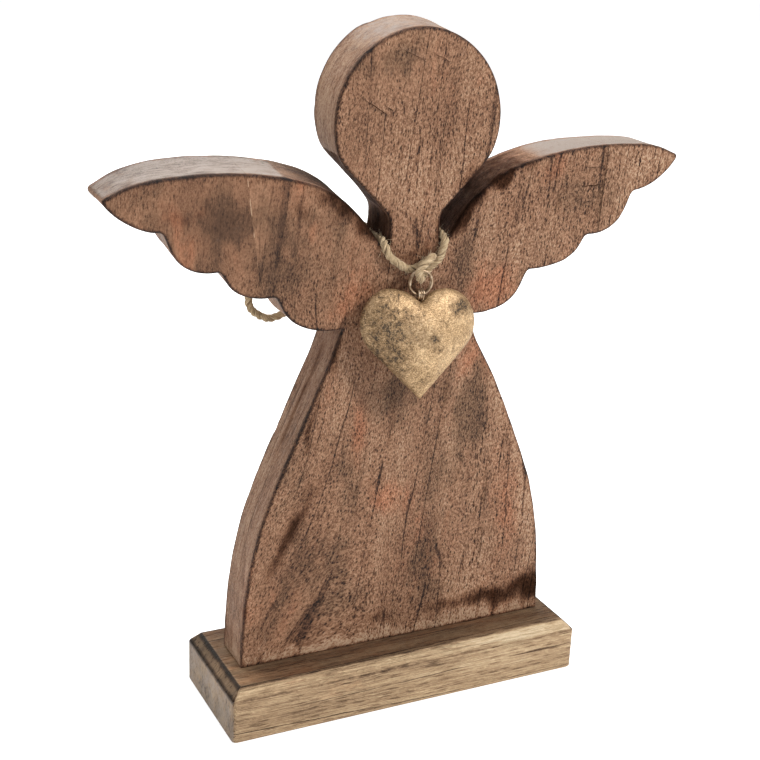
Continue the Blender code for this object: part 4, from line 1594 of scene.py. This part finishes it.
# The lights: (name, place in metres, size in metres, power in watts, colour).
LIGHTS = [
    ("key", (0.95, -0.95, 1.20), 0.28, 22.5, (1.0, 0.985, 0.96)),
    ("top", (-0.10, 0.20, 1.45), 1.1, 14.0, (1.0, 1.0, 1.0)),
    ("back", (0.15, 1.70, 0.95), 1.4, 12.0, (1.0, 1.0, 1.0)),
    ("fill", (-1.2, -0.6, 0.6), 1.2, 3.0, (0.97, 0.985, 1.0)),
]
LIGHTS_AIM = Vector((0, 0, 0.17))
CAMERA_AIM = Vector((-9.2, 0.0, 172.6)) * MM
CAMERA_DISTANCE = 0.742
CAMERA_AZIMUTH, CAMERA_ELEVATION, CAMERA_ROLL = -26.64, 19.68, 2.44
CAMERA_LENS = 68.8
SENSOR_WIDTH = 36.0


def build_floor():
    """A pale floor that glows a little, more so where it is seen directly."""
    data = bpy.data.meshes.new("floor")
    corners = [(x * FLOOR_REACH, y * FLOOR_REACH, 0) for x, y in ((-1, -1), (1, -1), (1, 1), (-1, 1))]
    data.from_pydata(corners, [], [(0, 1, 2, 3)])
    floor = bpy.data.objects.new("floor", data)
    floor.location.z = -0.2 * MM
    SCENE.collection.objects.link(floor)
    g = Graph("pale_floor")
    g.set(Base_Color=g.ramp(g.noise(g.place(), 0.004, 2), FLOOR_STOPS), Roughness=0.9)
    seen = g.add("LightPath").outputs["Is Camera Ray"]
    g.set(Specular_IOR_Level=0.1, Emission_Color=(1.0, 1.0, 1.0, 1.0))
    g.set(Emission_Strength=g.step(seen, 0.0, 1.0, 0.05, 0.66))
    data.materials.append(g.material)


def build_sky():
    """A white backdrop that lights the figure less than it shows."""
    world = bpy.data.worlds.new("studio")
    world.use_nodes = True
    nodes, links = world.node_tree.nodes, world.node_tree.links
    nodes["Background"].inputs["Color"].default_value = (1.0, 1.0, 1.0, 1.0)
    brightness = nodes.new("ShaderNodeMapRange")
    brightness.inputs["To Min"].default_value = SKY_LIGHT
    links.new(nodes.new("ShaderNodeLightPath").outputs["Is Camera Ray"], brightness.inputs["Value"])
    links.new(brightness.outputs[0], nodes["Background"].inputs["Strength"])
    SCENE.world = world


def build_camera():
    """A camera in front of the figure, towards -X and a little above it."""
    lens = bpy.data.cameras.new("camera")
    lens.lens = CAMERA_LENS
    lens.sensor_width = SENSOR_WIDTH
    camera = bpy.data.objects.new("camera", lens)
    turns = CAMERA_AZIMUTH, CAMERA_ELEVATION, CAMERA_ROLL
    camera.matrix_world = camera_matrix(*turns, CAMERA_AIM, CAMERA_DISTANCE)
    SCENE.collection.objects.link(camera)
    SCENE.camera = camera
    SCENE.view_settings.view_transform = "Standard"


def area_light(name, place, size, power, colour):
    data = bpy.data.lights.new(name, "AREA")
    data.shape = "DISK"
    data.size = size
    data.energy = power
    data.color = colour
    light = bpy.data.objects.new(name, data)
    light.location = place
    aim = LIGHTS_AIM - Vector(place)
    light.rotation_euler = aim.to_track_quat("-Z", "Y").to_euler()
    light.visible_camera = False
    SCENE.collection.objects.link(light)


def camera_matrix(azimuth, elevation, roll, target, distance):
    """Azimuth 0 looks along +Y; a positive roll leans the camera to its left."""
    a, e, r = (math.radians(v) for v in (azimuth, elevation, roll))
    back = Vector((math.sin(a) * math.cos(e), -math.cos(a) * math.cos(e), math.sin(e)))
    level = (-back).cross(Vector((0, 0, 1))).normalized()
    rise = level.cross(-back)
    right = math.cos(r) * level + math.sin(r) * rise
    up = -math.sin(r) * level + math.cos(r) * rise
    turn = Matrix((right, up, back)).transposed().to_4x4()
    return Matrix.Translation(target + distance * back) @ turn


build_angel()
build_plinth()
JUTE = jute()
build_cord(JUTE)
build_bow(JUTE)
GOLD = aged_gold()
build_heart(GOLD, "heart_front_shell", "heart_front", -1)
build_heart(GOLD, "heart_back_shell", "heart_back", 1)
WIRE = old_wire()
build_ring(WIRE)
build_eye(WIRE)
SCREW_STEEL = zinc()
for screw in SCREWS:
    frame["nodes"][screw].data.materials.clear()
    frame["nodes"][screw].data.materials.append(SCREW_STEEL)
build_floor()
build_sky()
for light in LIGHTS:
    area_light(*light)
build_camera()
